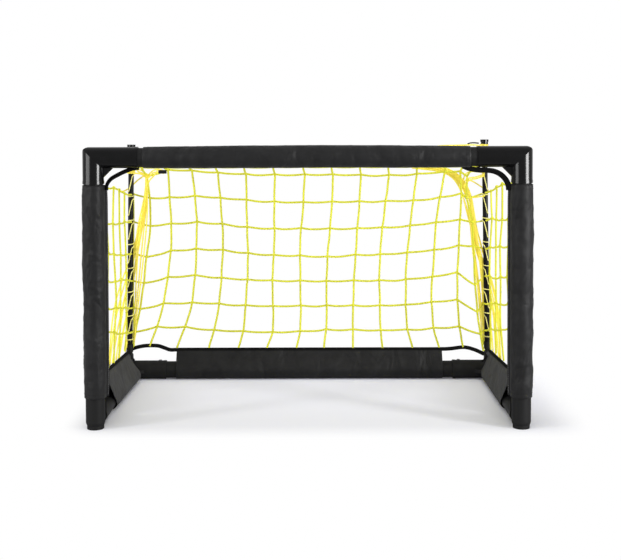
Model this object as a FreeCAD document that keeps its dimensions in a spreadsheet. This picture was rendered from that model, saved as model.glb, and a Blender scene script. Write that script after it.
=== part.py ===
import FreeCAD, Part
import math
import os
import re

from FreeCAD import Placement, Rotation, Vector

# Folding street hockey goal. The frame: X is the width, the mouth faces -Y, Z is up, and the
# origin is on the floor under the middle of the goal. Sizes are in millimetres and degrees.

DIMENSIONS = {
    "overall_width": 838,
    "overall_height": 528,
    "overall_depth": 406,
    "fitting_diameter": 39.5,
    "collar_rise": 0.5,
    "collar_width": 5.6,
    "floor_flat": 0.8,
    "tube_diameter": 36,
    "tube_bore": 32,
    "fit_gap": 0.1,
    "elbow_arm_across": 104,
    "elbow_arm_down": 69,
    "elbow_corner_radius": 12,
    "socket_depth": 27,
    "gusset_size": 17,
    "gusset_thickness": 6,
    "foot_height": 16,
    "foot_dome": 14,
    "spigot_length": 30,
    "hinge_back": 30,
    "hinge_height": 58,
    "knuckle_radius": 8.5,
    "knuckle_width": 8,
    "ear_radius": 9,
    "ear_thickness": 3.5,
    "hinge_side_gap": 0.5,
    "pin_diameter": 6,
    "pin_gap": 0.1,
    "pin_head_radius": 4.5,
    "pin_head_height": 1.5,
    "saddle_thickness": 2.6,
    "saddle_bottom": 30,
    "upright_inset": 5,
    "upright_stagger": 11,
    "upright_pivot_height": 52,
    "upright_tip_height": 516,
    "right_upright_rise": 8,
    "upright_lean": 0.9,
    "rod_diameter": 12,
    "clevis_radius": 7,
    "ferrule_radius": 7.5,
    "ferrule_start": 9,
    "ferrule_length": 16,
    "upright_pin_diameter": 4,
    "cap_radius": 9,
    "cap_disc_height": 5,
    "cap_skirt_radius": 7.8,
    "cap_length": 18,
    "cap_wall_above_rod": 3,
    "screw_diameter": 3.2,
    "screw_head_radius": 3.4,
    "screw_head_height": 1.6,
    "screw_length": 7,
    "screw_from_end": 13,
    "cloth": 0.8,
    "cloth_gap": 0.5,
    "soft_gap": 0.3,
    "post_sleeve_bottom": 59,
    "sleeve_end_gap": 2.5,
    "seam_width": 5,
    "seam_thickness": 1.6,
    "rear_sleeve_length": 584,
    "rear_sleeve_height": 61,
    "rear_sleeve_top_radius": 1.6,
    "side_sleeve_front_height": 89,
    "side_sleeve_front_radius": 13,
    "side_sleeve_rear_height": 62,
    "side_sleeve_rear_radius": 3,
    "sleeve_front_setback": 24,
    "sleeve_lift": 0.6,
    "binding_height": 8,
    "binding_thickness": 3,
    "binding_bow": 11,
    "corner_tape_width": 12,
    "corner_tape_thickness": 3,
    "cord_diameter": 3.2,
    "net_side_inset": 6,
    "net_side_columns": 6,
    "net_roof_rows": 6,
    "rear_net_middle_drop": 67,
    "net_row_lift": 20,
    "net_head_lift": 9,
    "net_edge_drop": 20,
    "net_bow_lead": 22,
    "net_bow_climb": 60,
    "net_bow_gap": 3,
    "roof_side_gap": 26,
    "roof_fold_height": 471,
    "roof_rear_lift": 2,
    "side_net_front_height": 484,
    "side_net_rear_height": 468,
    "side_net_sag": 16,
    "gather_drop": 16,
    "corner_ring_height": 456,
    "lacing_turns": 7,
    "lacing_start": 34,
    "lacing_end_gap": 2,
    "bundle_diameter": 10,
    "clip_length": 17,
    "clip_diameter": 8,
    "clip_inboard": 27,
    "clip_forward": 23,
    "clip_drop": 57.5,
}

PLACES = {
    "fitting_r": "fitting_diameter / 2",
    "collar_r": "fitting_r + collar_rise",
    "tube_r": "tube_diameter / 2",
    "bore_r": "tube_bore / 2",
    "post_x": "overall_width / 2 - collar_r",
    "front_y": "collar_r - overall_depth / 2",
    "ears_width": "knuckle_width + 2 * hinge_side_gap + 2 * ear_thickness",
    "pin_reach": "ears_width / 2 + fit_gap + pin_head_height",
    "rear_y": "overall_depth / 2 - collar_r",
    "bar_z": "overall_height - collar_r",
    "base_z": "fitting_r - floor_flat",
    "reach_across": "elbow_arm_across - collar_r",
    "reach_down": "elbow_arm_down - collar_r",
    "hinge_y": "front_y + hinge_back",
    "upright_x": "post_x - upright_inset",
    "net_side_x": "post_x - net_side_inset",
    "rear_net_middle_height": "upright_tip_height - rear_net_middle_drop",
    "gather_height": "upright_tip_height - gather_drop",
    "seam_end_y": "front_y + sleeve_r + seam_width / 2",
    "rod_r": "rod_diameter / 2",
    "rod_foot": "ferrule_start + 3",
    "left_tip_reach": "upright_tip_height - upright_pivot_height",
    "right_tip_reach": "left_tip_reach + right_upright_rise",
    "left_rod_length": "left_tip_reach - cap_wall_above_rod - rod_foot",
    "right_rod_length": "right_tip_reach - cap_wall_above_rod - rod_foot",
    "sleeve_r": "tube_r + cloth_gap + cloth",
    "crossbar_half": "post_x - reach_across",
    "side_front_y": "front_y + sleeve_front_setback",
    "side_rear_y": "rear_y - upright_stagger - pin_reach - soft_gap",
    "sleeve_rear_y": "rear_y - fitting_r - gusset_size - soft_gap",
    "side_rear_end": "rear_y - reach_across",
    "side_tube_front": "hinge_y + ear_radius + 6",
    "net_to_post": "sqrt(collar_r ^ 2 - (post_x - net_side_x - cord_diameter / 2) ^ 2)",
    "side_net_front_y": "front_y + net_to_post + soft_gap",
    "lacing_r": "rod_r + soft_gap + cord_diameter / 2",
}

doc = FreeCAD.newDocument("hockey_goal")
nodes = []


def fill_sheet(name, rows):
    """One row per value: its name, then the value under an alias of that name."""
    sheet = doc.addObject("Spreadsheet::Sheet", name)
    for row, (alias, content) in enumerate(rows.items(), 1):
        sheet.set(f"A{row}", alias)
        sheet.set(f"B{row}", str(content))
        sheet.setAlias(f"B{row}", alias)
    return sheet


def bound(text):
    """The same formula with every named value led by the sheet that holds it."""

    def owner(match):
        word = match.group(0)
        if word in DIMENSIONS:
            return f"dims.{word}"
        if word in PLACES:
            return f"places.{word}"
        return word

    return re.sub(r"[a-z_]+", owner, str(text))


dims = fill_sheet("dims", DIMENSIONS)
doc.recompute()
places = fill_sheet("places", {})
for row, (alias, formula) in enumerate(PLACES.items(), 1):
    places.set(f"A{row}", alias)
    places.setAlias(f"B{row}", alias)
    places.set(f"B{row}", "=" + re.sub(r"places\.", "", bound(formula)))
doc.recompute()


def val(name):
    """The present number of a named value."""
    sheet = dims if name in DIMENSIONS else places
    return float(getattr(sheet, name))


def place(obj, at, rotation=None):
    """Turns the object and binds its base point to three formulas."""
    if rotation is not None:
        obj.Placement = Placement(Vector(0, 0, 0), rotation)
    for axis, text in zip("xyz", at):
        obj.setExpression(f"Placement.Base.{axis}", bound(text))
    return obj


ALONG = {
    "+z": Rotation(),
    "-z": Rotation(Vector(1, 0, 0), 180),
    "+x": Rotation(Vector(0, 1, 0), 90),
    "-x": Rotation(Vector(0, 1, 0), -90),
    "+y": Rotation(Vector(1, 0, 0), -90),
    "-y": Rotation(Vector(1, 0, 0), 90),
}


def cylinder(name, radius, length, at, along):
    obj = doc.addObject("Part::Cylinder", name)
    obj.setExpression("Radius", bound(radius))
    obj.setExpression("Height", bound(length))
    return place(obj, at, ALONG[along])


def box(name, size, centre):
    """A box given by its three sizes and its centre."""
    obj = doc.addObject("Part::Box", name)
    for side, text in zip(("Length", "Width", "Height"), size):
        obj.setExpression(side, bound(text))
    corner = [f"({middle}) - ({full}) / 2" for middle, full in zip(centre, size)]
    return place(obj, corner)


def fuse(name, shapes):
    obj = doc.addObject("Part::MultiFuse", name)
    obj.Shapes = shapes
    return obj


def common(name, shapes):
    obj = doc.addObject("Part::MultiCommon", name)
    obj.Shapes = shapes
    return obj


def cut(name, base, tools):
    """The base less every tool."""
    obj = doc.addObject("Part::Cut", name)
    obj.Base = base
    obj.Tool = tools[0] if len(tools) == 1 else fuse(f"{name}_tools", tools)
    return obj


def node(obj, label):
    """Registers a finished sub-part under its own name."""
    obj.Label = label
    nodes.append(obj)
    return obj


def soft(name, shape):
    """A sub-part whose shape is worked out from the sheet's values."""
    obj = doc.addObject("Part::Feature", name)
    obj.Shape = shape
    obj.Placement = shape.Placement
    return node(obj, name)


def inward(side):
    """The direction along X from that side to the middle."""
    return "+x" if side < 0 else "-x"


SIDES = {"left": -1, "right": 1}


# Screws and the holes that they pass through

def screw_hole(name, spot, along):
    x, y, z = spot
    return cylinder(f"{name}_hole", "screw_diameter / 2 + fit_gap", "3 * screw_length", spot, along)


def screw(name, spot, along, seat):
    """A pan head resting on the fitting's surface, its shank through fitting and tube."""
    sign = "+" if along[0] == "-" else "-"
    back = "-" if sign == "+" else "+"
    axis = "xyz".index(along[1])
    surface = list(spot)
    surface[axis] = f"{spot[axis]} {sign} ({seat})"
    under = list(surface)
    head = cylinder(f"{name}_head", "screw_head_radius", "screw_head_height", surface,
                    {"+": "-", "-": "+"}[along[0]] + along[1])
    shank = cylinder(f"{name}_shank", "screw_diameter / 2", "screw_length", under, along)
    return fuse(f"{name}_screw", [head, shank])


# Two-arm corner fitting: mitred at its corner, rounded outside, webbed inside

def mitred_corner(name, at, first, second, reach_first, reach_second, collared):
    """Two round arms from the corner point. At the outside they end where both overlap."""
    arms = []
    full = []
    collars = []
    for label, along, reach in (("first", first, reach_first), ("second", second, reach_second)):
        arms.append(cylinder(f"{name}_{label}_arm", "fitting_r", reach, at, along))
        axis = "xyz".index(along[1])
        away = "-" if along[0] == "+" else "+"
        toward = along[0]
        start = list(at)
        start[axis] = f"{at[axis]} {away} fitting_r"
        full.append(cylinder(f"{name}_{label}_full", "fitting_r", "2 * fitting_r", start, along))
        if label in collared:
            collar_start = list(at)
            collar_start[axis] = f"{at[axis]} {toward} ({reach} - collar_width)"
            collars.append(cylinder(f"{name}_{label}_collar", "collar_r", "collar_width",
                                    collar_start, along))
    corner = common(f"{name}_corner", full)
    return arms + [corner] + collars


def outer_rounding(name, at, first, second):
    """What is cut off the outside of the corner: a square bar less the round that stays."""
    centre = list(at)
    inner = list(at)
    for along in (first, second):
        axis = "xyz".index(along[1])
        away = "-" if along[0] == "+" else "+"
        centre[axis] = f"{at[axis]} {away} (fitting_r - elbow_corner_radius / 2)"
        inner[axis] = f"{at[axis]} {away} (fitting_r - elbow_corner_radius)"
    third = ({"x", "y", "z"} - {first[1], second[1]}).pop()
    axis = "xyz".index(third)
    size = ["elbow_corner_radius"] * 3
    size[axis] = "2 * fitting_diameter"
    start = list(inner)
    start[axis] = f"{at[axis]} - 2 * fitting_diameter"
    bar = box(f"{name}_corner_bar", size, centre)
    stays = cylinder(f"{name}_corner_round", "elbow_corner_radius", "4 * fitting_diameter",
                     start, f"+{third}")
    return cut(f"{name}_rounding", bar, [stays])


def gusset(name, at, first, second):
    """The flat web in the inner corner, with its slanted free edge."""
    third = ({"x", "y", "z"} - {first[1], second[1]}).pop()
    reach = "(fitting_r + gusset_size)"
    size = ["gusset_thickness"] * 3
    centre = list(at)
    slant = list(at)
    for along in (first, second):
        axis = "xyz".index(along[1])
        size[axis] = reach
        centre[axis] = f"{at[axis]} {along[0]} {reach} / 2"
        slant[axis] = f"{at[axis]} {along[0]} {reach}"
    plate = box(f"{name}_web_plate", size, centre)
    square = ["gusset_size * sqrt(2)"] * 3
    square["xyz".index(third)] = "3 * gusset_thickness"
    tool = doc.addObject("Part::Box", f"{name}_web_slant")
    for side, text in zip(("Length", "Width", "Height"), square):
        tool.setExpression(side, bound(text))
    half = {"x": Vector(1, 0, 0), "y": Vector(0, 1, 0), "z": Vector(0, 0, 1)}[third]
    turned = Rotation(half, 45)
    offsets = [f"-({text}) / 2" for text in square]
    tool.Placement = Placement(Vector(0, 0, 0), turned)
    for axis, word in enumerate("xyz"):
        tool.setExpression(f"Placement.Base.{word}", bound(
            turned_offset(turned, offsets, axis) + f" + {slant[axis]}"))
    return cut(f"{name}_web", plate, [tool])


def turned_offset(rotation, offsets, axis):
    """One coordinate of an offset after turning, as a formula."""
    unit = [rotation.multVec(Vector(*(1.0 if k == n else 0.0 for k in range(3)))) for n in range(3)]
    terms = [f"({unit[n][axis]:.12f}) * ({offsets[n]})" for n in range(3)]
    return " + ".join(terms)


def socket(name, at, along, reach, radius="tube_r + fit_gap"):
    """The bore at an arm's end that takes the tube."""
    axis = "xyz".index(along[1])
    start = list(at)
    start[axis] = f"{at[axis]} {along[0]} ({reach} - socket_depth)"
    return cylinder(f"{name}_bore", radius, "2 * socket_depth", start, along)


def corner_fitting(name, at, first, second, reach_first, reach_second, holes, extra=(), taken=(),
                   collared=("first", "second")):
    solids = mitred_corner(name, at, first, second, reach_first, reach_second, collared)
    solids.append(gusset(name, at, first, second))
    body = fuse(f"{name}_body", solids + list(extra))
    tools = [
        outer_rounding(name, at, first, second),
        socket(f"{name}_first", at, first, reach_first),
        socket(f"{name}_second", at, second, reach_second),
    ]
    return node(cut(f"{name}_cut", body, tools + holes + list(taken)), name)


def tube(name, start, along, length, holes):
    outer = cylinder(f"{name}_outer", "tube_r", length, start, along)
    axis = "xyz".index(along[1])
    before = list(start)
    before[axis] = f"{start[axis]} {'-' if along[0] == '+' else '+'} 5"
    bore = cylinder(f"{name}_bore", "bore_r", f"{length} + 10", before, along)
    return node(cut(f"{name}_cut", outer, [bore] + holes), name)


# Front frame: posts, crossbar, top elbows, feet and the hinge lugs behind the posts

def front_frame():
    screws = []
    bar_holes = []
    for side_name, side in SIDES.items():
        x = f"({side} * post_x)"
        corner = [x, "front_y", "bar_z"]
        toward = inward(side)
        across_spot = [f"{side} * (post_x - reach_across + screw_from_end)", "front_y", "bar_z"]
        down_spot = [x, "front_y", "bar_z - reach_down + screw_from_end"]
        elbow_name = f"{side_name}_top_elbow"
        holes = [
            screw_hole(f"{elbow_name}_across", across_spot, "+y"),
            screw_hole(f"{elbow_name}_down", down_spot, "+y"),
        ]
        corner_fitting(elbow_name, corner, toward, "-z", "reach_across", "reach_down", holes)
        bar_holes.append(screw_hole(f"{side_name}_crossbar", across_spot, "+y"))
        screws.append(screw(f"{elbow_name}_across", across_spot, "-y", "fitting_r"))
        screws.append(screw(f"{elbow_name}_down", down_spot, "-y", "fitting_r"))
        post_holes = [screw_hole(f"{side_name}_post", down_spot, "+y")]
        tube(f"{side_name}_post_tube", [x, "front_y", "foot_height"], "+z",
             "bar_z - reach_down + socket_depth - foot_height - fit_gap", post_holes)
        foot(side_name, x)
        hinge_lug(side_name, x)
    tube("crossbar_tube", ["-(crossbar_half + socket_depth - fit_gap)", "front_y", "bar_z"], "+x",
         "2 * (crossbar_half + socket_depth - fit_gap)", bar_holes)
    node(fuse("frame_screws_group", screws), "frame_screws")


def foot(side_name, x):
    """A domed plug: its spigot sits in the post's bore, its dome stands on the floor."""
    name = f"{side_name}_foot"
    body = doc.addObject("PartDesign::Body", name)
    plug = body.newObject("PartDesign::AdditiveCylinder", f"{name}_plug")
    plug.setExpression("Radius", bound("tube_r"))
    plug.setExpression("Height", bound("foot_height"))
    doc.recompute()
    rim = [f"Edge{n}" for n, edge in enumerate(plug.Shape.Edges, 1)
           if edge.BoundBox.ZMax < 0.01]
    dome = body.newObject("PartDesign::Fillet", f"{name}_dome")
    dome.Base = (plug, rim)
    dome.setExpression("Radius", bound("foot_dome"))
    doc.recompute()
    spigot = body.newObject("PartDesign::AdditiveCylinder", f"{name}_spigot")
    spigot.setExpression("Radius", bound("bore_r - fit_gap"))
    spigot.setExpression("Height", bound("foot_height + spigot_length"))
    body.Tip = spigot
    place(body, [x, "front_y", "0"], Rotation())
    return node(body, name)


def hinge_lug(side_name, x):
    """A saddle on the back of the post that carries the hinge's knuckle."""
    name = f"{side_name}_hinge_lug"
    height = "(hinge_height - 1 - saddle_bottom)"
    saddle = cylinder(f"{name}_saddle", "tube_r + saddle_thickness", height,
                      [x, "front_y", "saddle_bottom"], "+z")
    arm = box(f"{name}_arm", ["knuckle_width", "hinge_back - tube_r", "knuckle_radius - 1"],
              [x, "front_y + (hinge_back + tube_r) / 2", "hinge_height - (knuckle_radius + 1) / 2"])
    knuckle = cylinder(f"{name}_knuckle", "knuckle_radius", "knuckle_width",
                       [f"{x} - knuckle_width / 2", "hinge_y", "hinge_height"], "+x")
    body = fuse(f"{name}_body", [saddle, arm, knuckle])
    post = cylinder(f"{name}_post", "tube_r", "overall_height", [x, "front_y", "0"], "+z")
    front = box(f"{name}_front", ["2 * fitting_diameter", "fitting_diameter", "overall_height"],
                [x, "front_y - fitting_diameter / 2 + tube_r / 3", "overall_height / 2"])
    hole = cylinder(f"{name}_eye", "pin_diameter / 2 + pin_gap", "2 * ears_width",
                    [f"{x} - ears_width", "hinge_y", "hinge_height"], "+x")
    return node(cut(f"{name}_cut", body, [post, front, hole]), name)


# Base: side tubes, rear tube, rear corners, hinge brackets and pins

def hinge_bracket(side_name, x):
    """Plugs into the side tube's front end; two ears on top hold the front frame's knuckle."""
    name = f"{side_name}_hinge_bracket"
    front = "(hinge_y - ear_radius)"
    head = cylinder(f"{name}_head", "tube_r", "side_tube_front - hinge_y + ear_radius",
                    [x, front, "base_z"], "+y")
    spigot = cylinder(f"{name}_spigot", "bore_r - fit_gap", "spigot_length",
                      [x, "side_tube_front", "base_z"], "+y")
    ears = box(f"{name}_ears", ["ears_width", "2 * ear_radius", "hinge_height - base_z"],
               [x, "hinge_y", "(hinge_height + base_z) / 2"])
    crown = cylinder(f"{name}_crown", "ear_radius", "ears_width",
                     [f"{x} - ears_width / 2", "hinge_y", "hinge_height"], "+x")
    body = fuse(f"{name}_body", [head, spigot, ears, crown])
    slot_low = "(hinge_height - knuckle_radius - 2)"
    slot = box(f"{name}_slot",
               ["knuckle_width + 2 * hinge_side_gap", "3 * ear_radius", "overall_height"],
               [x, "hinge_y", f"{slot_low} + overall_height / 2"])
    eye = cylinder(f"{name}_eye", "pin_diameter / 2 + pin_gap", "2 * ears_width",
                   [f"{x} - ears_width", "hinge_y", "hinge_height"], "+x")
    node(cut(f"{name}_cut", body, [slot, eye]), name)
    pin_between(f"{side_name}_hinge_pin", [x, "hinge_y", "hinge_height"], "x", "ears_width",
                "pin_diameter / 2")


def pin_between(name, at, axis_word, width, radius):
    """A headed pin through two ears, peened over at its far end."""
    axis = "xyz".index(axis_word)
    low = list(at)
    low[axis] = f"{at[axis]} - {width} / 2 - fit_gap"
    high = list(at)
    high[axis] = f"{at[axis]} + {width} / 2 + fit_gap"
    shank = cylinder(f"{name}_shank", radius, f"{width} + 2 * fit_gap", low, f"+{axis_word}")
    far = cylinder(f"{name}_far", "pin_head_radius", "pin_head_height", high, f"+{axis_word}")
    near = cylinder(f"{name}_near", "pin_head_radius", "pin_head_height", low, f"-{axis_word}")
    return node(fuse(f"{name}_group", [shank, far, near]), name)


def base_frame():
    screws = []
    rear_holes = []
    for side_name, side in SIDES.items():
        x = f"({side} * post_x)"
        toward = inward(side)
        name = f"{side_name}_rear_corner"
        corner = [x, "rear_y", "base_z"]
        across_spot = [f"{side} * (post_x - reach_across + screw_from_end)", "rear_y", "base_z"]
        along_spot = [x, "rear_y - reach_across + screw_from_end", "base_z"]
        holes = [
            screw_hole(f"{name}_across", across_spot, "+z"),
            screw_hole(f"{name}_along", along_spot, "+z"),
        ]
        clevis, taken, pivot = upright_clevis(name, side)
        floor = box(f"{name}_floor", ["4 * reach_across", "4 * reach_across", "fitting_diameter"],
                    [x, "rear_y", "-fitting_diameter / 2"])
        corner_fitting(name, corner, toward, "-y", "reach_across", "reach_across", holes,
                       extra=clevis, taken=taken + [floor], collared=("first",))
        pin_between(f"{side_name}_upright_pin", pivot, "y", "ears_width",
                    "upright_pin_diameter / 2")
        rear_holes.append(screw_hole(f"{side_name}_rear", across_spot, "+z"))
        screws.append(screw(f"{name}_across", across_spot, "-z", "fitting_r"))
        screws.append(screw(f"{name}_along", along_spot, "-z", "fitting_r"))
        tube(f"{side_name}_side_tube", [x, "side_tube_front", "base_z"], "+y",
             "side_rear_end + socket_depth - fit_gap - side_tube_front",
             [screw_hole(f"{side_name}_side", along_spot, "+z")])
        hinge_bracket(side_name, x)
    tube("rear_tube", ["-(crossbar_half + socket_depth - fit_gap)", "rear_y", "base_z"], "+x",
         "2 * (crossbar_half + socket_depth - fit_gap)", rear_holes)
    node(fuse("base_screws_group", screws), "base_screws")


def upright_clevis(name, side):
    """Two ears on the rear corner for the upright's pin, which lies along Y."""
    x = f"({side} * upright_x)"
    y = f"(rear_y + {side} * upright_stagger)"
    z = "upright_pivot_height"
    pivot = [x, y, z]
    block = box(f"{name}_ears", ["2 * clevis_radius", "ears_width", f"{z} - base_z"],
                [x, y, f"({z} + base_z) / 2"])
    crown = cylinder(f"{name}_crown", "clevis_radius", "ears_width",
                     [x, f"{y} - ears_width / 2", z], "+y")
    slot = box(f"{name}_slot",
               ["4 * clevis_radius", "knuckle_width + 2 * hinge_side_gap", "overall_height"],
               [x, y, f"{z} - clevis_radius - 1 + overall_height / 2"])
    eye = cylinder(f"{name}_eye", "upright_pin_diameter / 2 + pin_gap", "2 * ears_width",
                   [x, f"{y} - ears_width", z], "+y")
    return [block, crown], [slot, eye], pivot


# Rear uprights: each stands in its clevis, leaning a little inward

def upright_place(obj, side):
    """From the upright's own frame, with its pivot at the origin, to its place on the goal."""
    obj.Placement = Placement(Vector(0, 0, 0), Rotation(Vector(0, -side, 0), val("upright_lean")))
    obj.setExpression("Placement.Rotation.Angle", bound("upright_lean"))
    return place(obj, [f"{side} * upright_x", f"rear_y + {side} * upright_stagger",
                       "upright_pivot_height"])


def uprights():
    for side_name, side in SIDES.items():
        rod_name = f"{side_name}_upright_rod"
        rod = cylinder(f"{rod_name}_bar", "rod_r", f"{side_name}_rod_length",
                       ["0", "0", "rod_foot"], "+z")
        node(upright_place(fuse(f"{rod_name}_solid", [rod, ferrule_core(rod_name)]), side),
             rod_name)
        knuckle(side_name, side)
        cap(side_name, side)


def ferrule_core(name):
    """The rod's reduced end, which the knuckle's socket holds."""
    return cylinder(f"{name}_end", "rod_r - 1", "rod_foot - ferrule_start",
                    ["0", "0", "ferrule_start"], "+z")


def knuckle(side_name, side):
    """The upright's foot: an eye for the pin, a neck, and a socket for the rod."""
    name = f"{side_name}_upright_knuckle"
    eye = cylinder(f"{name}_eye_round", "clevis_radius - 0.5", "knuckle_width",
                   ["0", "-knuckle_width / 2", "0"], "+y")
    neck = box(f"{name}_neck", ["1.4 * clevis_radius", "knuckle_width", "ferrule_start + 1"],
               ["0", "0", "(ferrule_start + 1) / 2"])
    holder = cylinder(f"{name}_socket", "ferrule_radius", "ferrule_length",
                      ["0", "0", "ferrule_start"], "+z")
    body = fuse(f"{name}_body", [eye, neck, holder])
    pin = cylinder(f"{name}_pin_hole", "upright_pin_diameter / 2 + pin_gap", "4 * knuckle_width",
                   ["0", "-2 * knuckle_width", "0"], "+y")
    rod = cylinder(f"{name}_rod_hole", "rod_r + fit_gap", "2 * ferrule_length",
                   ["0", "0", "rod_foot"], "+z")
    end = cylinder(f"{name}_end_hole", "rod_r - 1 + fit_gap", "rod_foot",
                   ["0", "0", "ferrule_start"], "+z")
    return node(upright_place(cut(f"{name}_cut", body, [pin, rod, end]), side), name)


def cap(side_name, side):
    """A turned plastic tip: a wide flat disc over a skirt that grips the rod."""
    name = f"{side_name}_upright_cap"
    tip = f"{side_name}_tip_reach"
    skirt = cylinder(f"{name}_skirt", "cap_skirt_radius", "cap_length",
                     ["0", "0", f"{tip} - cap_length"], "+z")
    disc = cylinder(f"{name}_disc", "cap_radius", "cap_disc_height",
                    ["0", "0", f"{tip} - cap_disc_height"], "+z")
    body = fuse(f"{name}_body", [skirt, disc])
    rod = cylinder(f"{name}_bore", "rod_r + fit_gap", "cap_length - cap_wall_above_rod + fit_gap",
                   ["0", "0", f"{tip} - cap_length"], "+z")
    return node(upright_place(cut(f"{name}_cut", body, [rod]), side), name)


# Cloth sleeves. A base sleeve's outline has this many flats round the tube and round its top.

LOW_SIDES = 16
TOP_SIDES = 6


def post_sleeves():
    for side_name, side in SIDES.items():
        name = f"{side_name}_post_sleeve"
        x = f"({side} * post_x)"
        length = "(bar_z - reach_down - sleeve_end_gap - post_sleeve_bottom)"
        round_part = cylinder(f"{name}_round", "sleeve_r", length,
                              [x, "front_y", "post_sleeve_bottom"], "+z")
        seam = box(f"{name}_seam", ["2 * seam_width", "seam_thickness", length],
                   [f"{side} * (post_x - sleeve_r)", "front_y",
                    f"post_sleeve_bottom + {length} / 2"])
        body = fuse(f"{name}_body", [round_part, seam])
        inside = cylinder(f"{name}_inside", "sleeve_r - cloth", "overall_height",
                          [x, "front_y", "0"], "+z")
        node(cut(f"{name}_cut", body, [inside]), name)
    half = "(crossbar_half - sleeve_end_gap)"
    round_part = cylinder("crossbar_sleeve_round", "sleeve_r", f"2 * {half}",
                          [f"-{half}", "front_y", "bar_z"], "+x")
    seam = box("crossbar_sleeve_seam", [f"2 * {half}", "2 * seam_width", "seam_thickness"],
               ["0", "front_y + sleeve_r - seam_width / 2", "bar_z"])
    inside = cylinder("crossbar_sleeve_inside", "sleeve_r - cloth", "overall_width",
                      ["-overall_width / 2", "front_y", "bar_z"], "+x")
    body = fuse("crossbar_sleeve_body", [round_part, seam])
    node(cut("crossbar_sleeve_cut", body, [inside]), "crossbar_sleeve")


def teardrop(low_r, low_z, top_r, top_z, place_point):
    """Closed outline round the tube below and the binding above, joined by straight sides."""
    slope = math.asin((low_r - top_r) / (top_z - low_z))
    points = []
    for radius, centre, first, last, sides in (
            (low_r, low_z, math.pi - slope, 2 * math.pi + slope, LOW_SIDES),
            (top_r, top_z, slope, math.pi - slope, TOP_SIDES)):
        step = (last - first) / sides
        outer = radius / math.cos(step / 2)
        for n in range(sides + 1):
            corner = radius if n in (0, sides) else outer
            angle = first + step * n
            points.append(place_point(corner * math.cos(angle), centre + corner * math.sin(angle)))
    return Part.makePolygon(points + points[:1])


def sleeve_between(stations, shrink):
    """A solid through the outlines at each station; shrink makes the inside of the cloth."""
    wires = []
    for low_r, top_r, top_z, place_point in stations:
        wires.append(teardrop(low_r - shrink, val("base_z"), top_r - shrink, top_z, place_point))
    return Part.makeLoft(wires, True, True)


def edge_height(y):
    """Top of the side sleeve, which falls in a straight line from front to rear."""
    front_z, rear_z = val("side_sleeve_front_height"), val("side_sleeve_rear_height")
    share = (y - val("side_front_y")) / (val("sleeve_rear_y") - val("side_front_y"))
    return front_z + (rear_z - front_z) * share


def base_sleeves():
    """Sleeves round the base tubes that rise to the bound edge which carries the net."""
    cloth = val("cloth")
    floor = Part.makeBox(2000, 2000, 100, Vector(-1000, -1000, val("sleeve_lift") - 100))
    half = val("rear_sleeve_length") / 2
    top_r = val("rear_sleeve_top_radius")
    low_r = val("tube_r") + val("cloth_gap") + cloth
    top_z = val("rear_sleeve_height") - top_r

    def at_x(x):
        return lambda across, up: Vector(x, val("rear_y") + across, up)

    stations = [(low_r, top_r, top_z, at_x(x)) for x in (-half, half)]
    outside = sleeve_between(stations, 0)
    longer = [(low_r, top_r, top_z, at_x(x)) for x in (-half - 1, half + 1)]
    soft("rear_sleeve", outside.cut(sleeve_between(longer, cloth)).cut(floor))
    for side_name, side in SIDES.items():
        low_r = val("fitting_r") + val("soft_gap") + cloth
        front_r, rear_r = val("side_sleeve_front_radius"), val("side_sleeve_rear_radius")
        front_y, rear_y = val("side_front_y"), val("sleeve_rear_y")

        def station(share, side=side, low_r=low_r):
            y = front_y + (rear_y - front_y) * share
            radius = front_r + (rear_r - front_r) * share
            rise = edge_height(y) - radius - val("base_z")
            inboard = val("post_x") - val("net_side_x")
            length = math.hypot(rise, inboard)
            lean_x, lean_z = -side * inboard / length, rise / length

            def leaning(across, up):
                height = up - val("base_z")
                return Vector(side * val("post_x") + across * lean_z + height * lean_x, y,
                              val("base_z") + height * lean_z - across * lean_x)

            return (low_r, radius, val("base_z") + length, leaning)

        outside = sleeve_between([station(0), station(1)], 0)
        inside = sleeve_between([station(-0.01), station(1.01)], cloth)
        soft(f"{side_name}_side_sleeve", outside.cut(inside).cut(floor))


# Binding tapes

def plate_xz(points, y_low, thickness):
    """A flat piece in a plane across Y, from a closed list of edges."""
    face = Part.Face(Part.Wire(points))
    return face.extrude(Vector(0, thickness, 0)).translated(Vector(0, y_low, 0))


def arc_band(start, top, end, height):
    """Edges of a band of even height that follows an arc from start over top to end."""

    def lifted(p, dz):
        return Vector(p.x, p.y, p.z + dz)

    return [
        Part.Arc(start, top, end).toShape(),
        Part.makeLine(end, lifted(end, height)),
        Part.Arc(lifted(end, height), lifted(top, height), lifted(start, height)).toShape(),
        Part.makeLine(lifted(start, height), start),
    ]


def bindings():
    """The tapes that edge the net. At the rear corners they bow up, clear of the fittings."""
    thick = val("binding_thickness")
    height = val("binding_height")
    gap = val("soft_gap")
    low = val("rear_sleeve_height") + gap
    half = val("rear_sleeve_length") / 2
    y_low = val("rear_y") - thick / 2
    middle = Part.makeBox(2 * half, thick, height, Vector(-half, y_low, low))
    pieces = [middle]
    for side in SIDES.values():
        outer = side * val("upright_x")
        start = Vector(side * half, 0, low)
        end = Vector(outer, 0, low)
        top = Vector((side * half + outer) / 2, 0, low + val("binding_bow"))
        pieces.append(plate_xz(arc_band(start, top, end, height), y_low, thick))
    soft("rear_binding", pieces[0].fuse(pieces[1:]).removeSplitter())
    for side_name, side in SIDES.items():
        x_low = side * val("net_side_x") - thick / 2
        front, rear = val("side_front_y"), val("side_rear_y")
        front_z, rear_z = edge_height(front) + gap, edge_height(rear) + gap
        corners = [
            Vector(x_low, front, front_z),
            Vector(x_low, rear, rear_z),
            Vector(x_low, rear, rear_z + height),
            Vector(x_low, front, front_z + height),
        ]
        face = Part.Face(Part.makePolygon(corners + corners[:1]))
        soft(f"{side_name}_side_binding", face.extrude(Vector(thick, 0, 0)))


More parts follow.
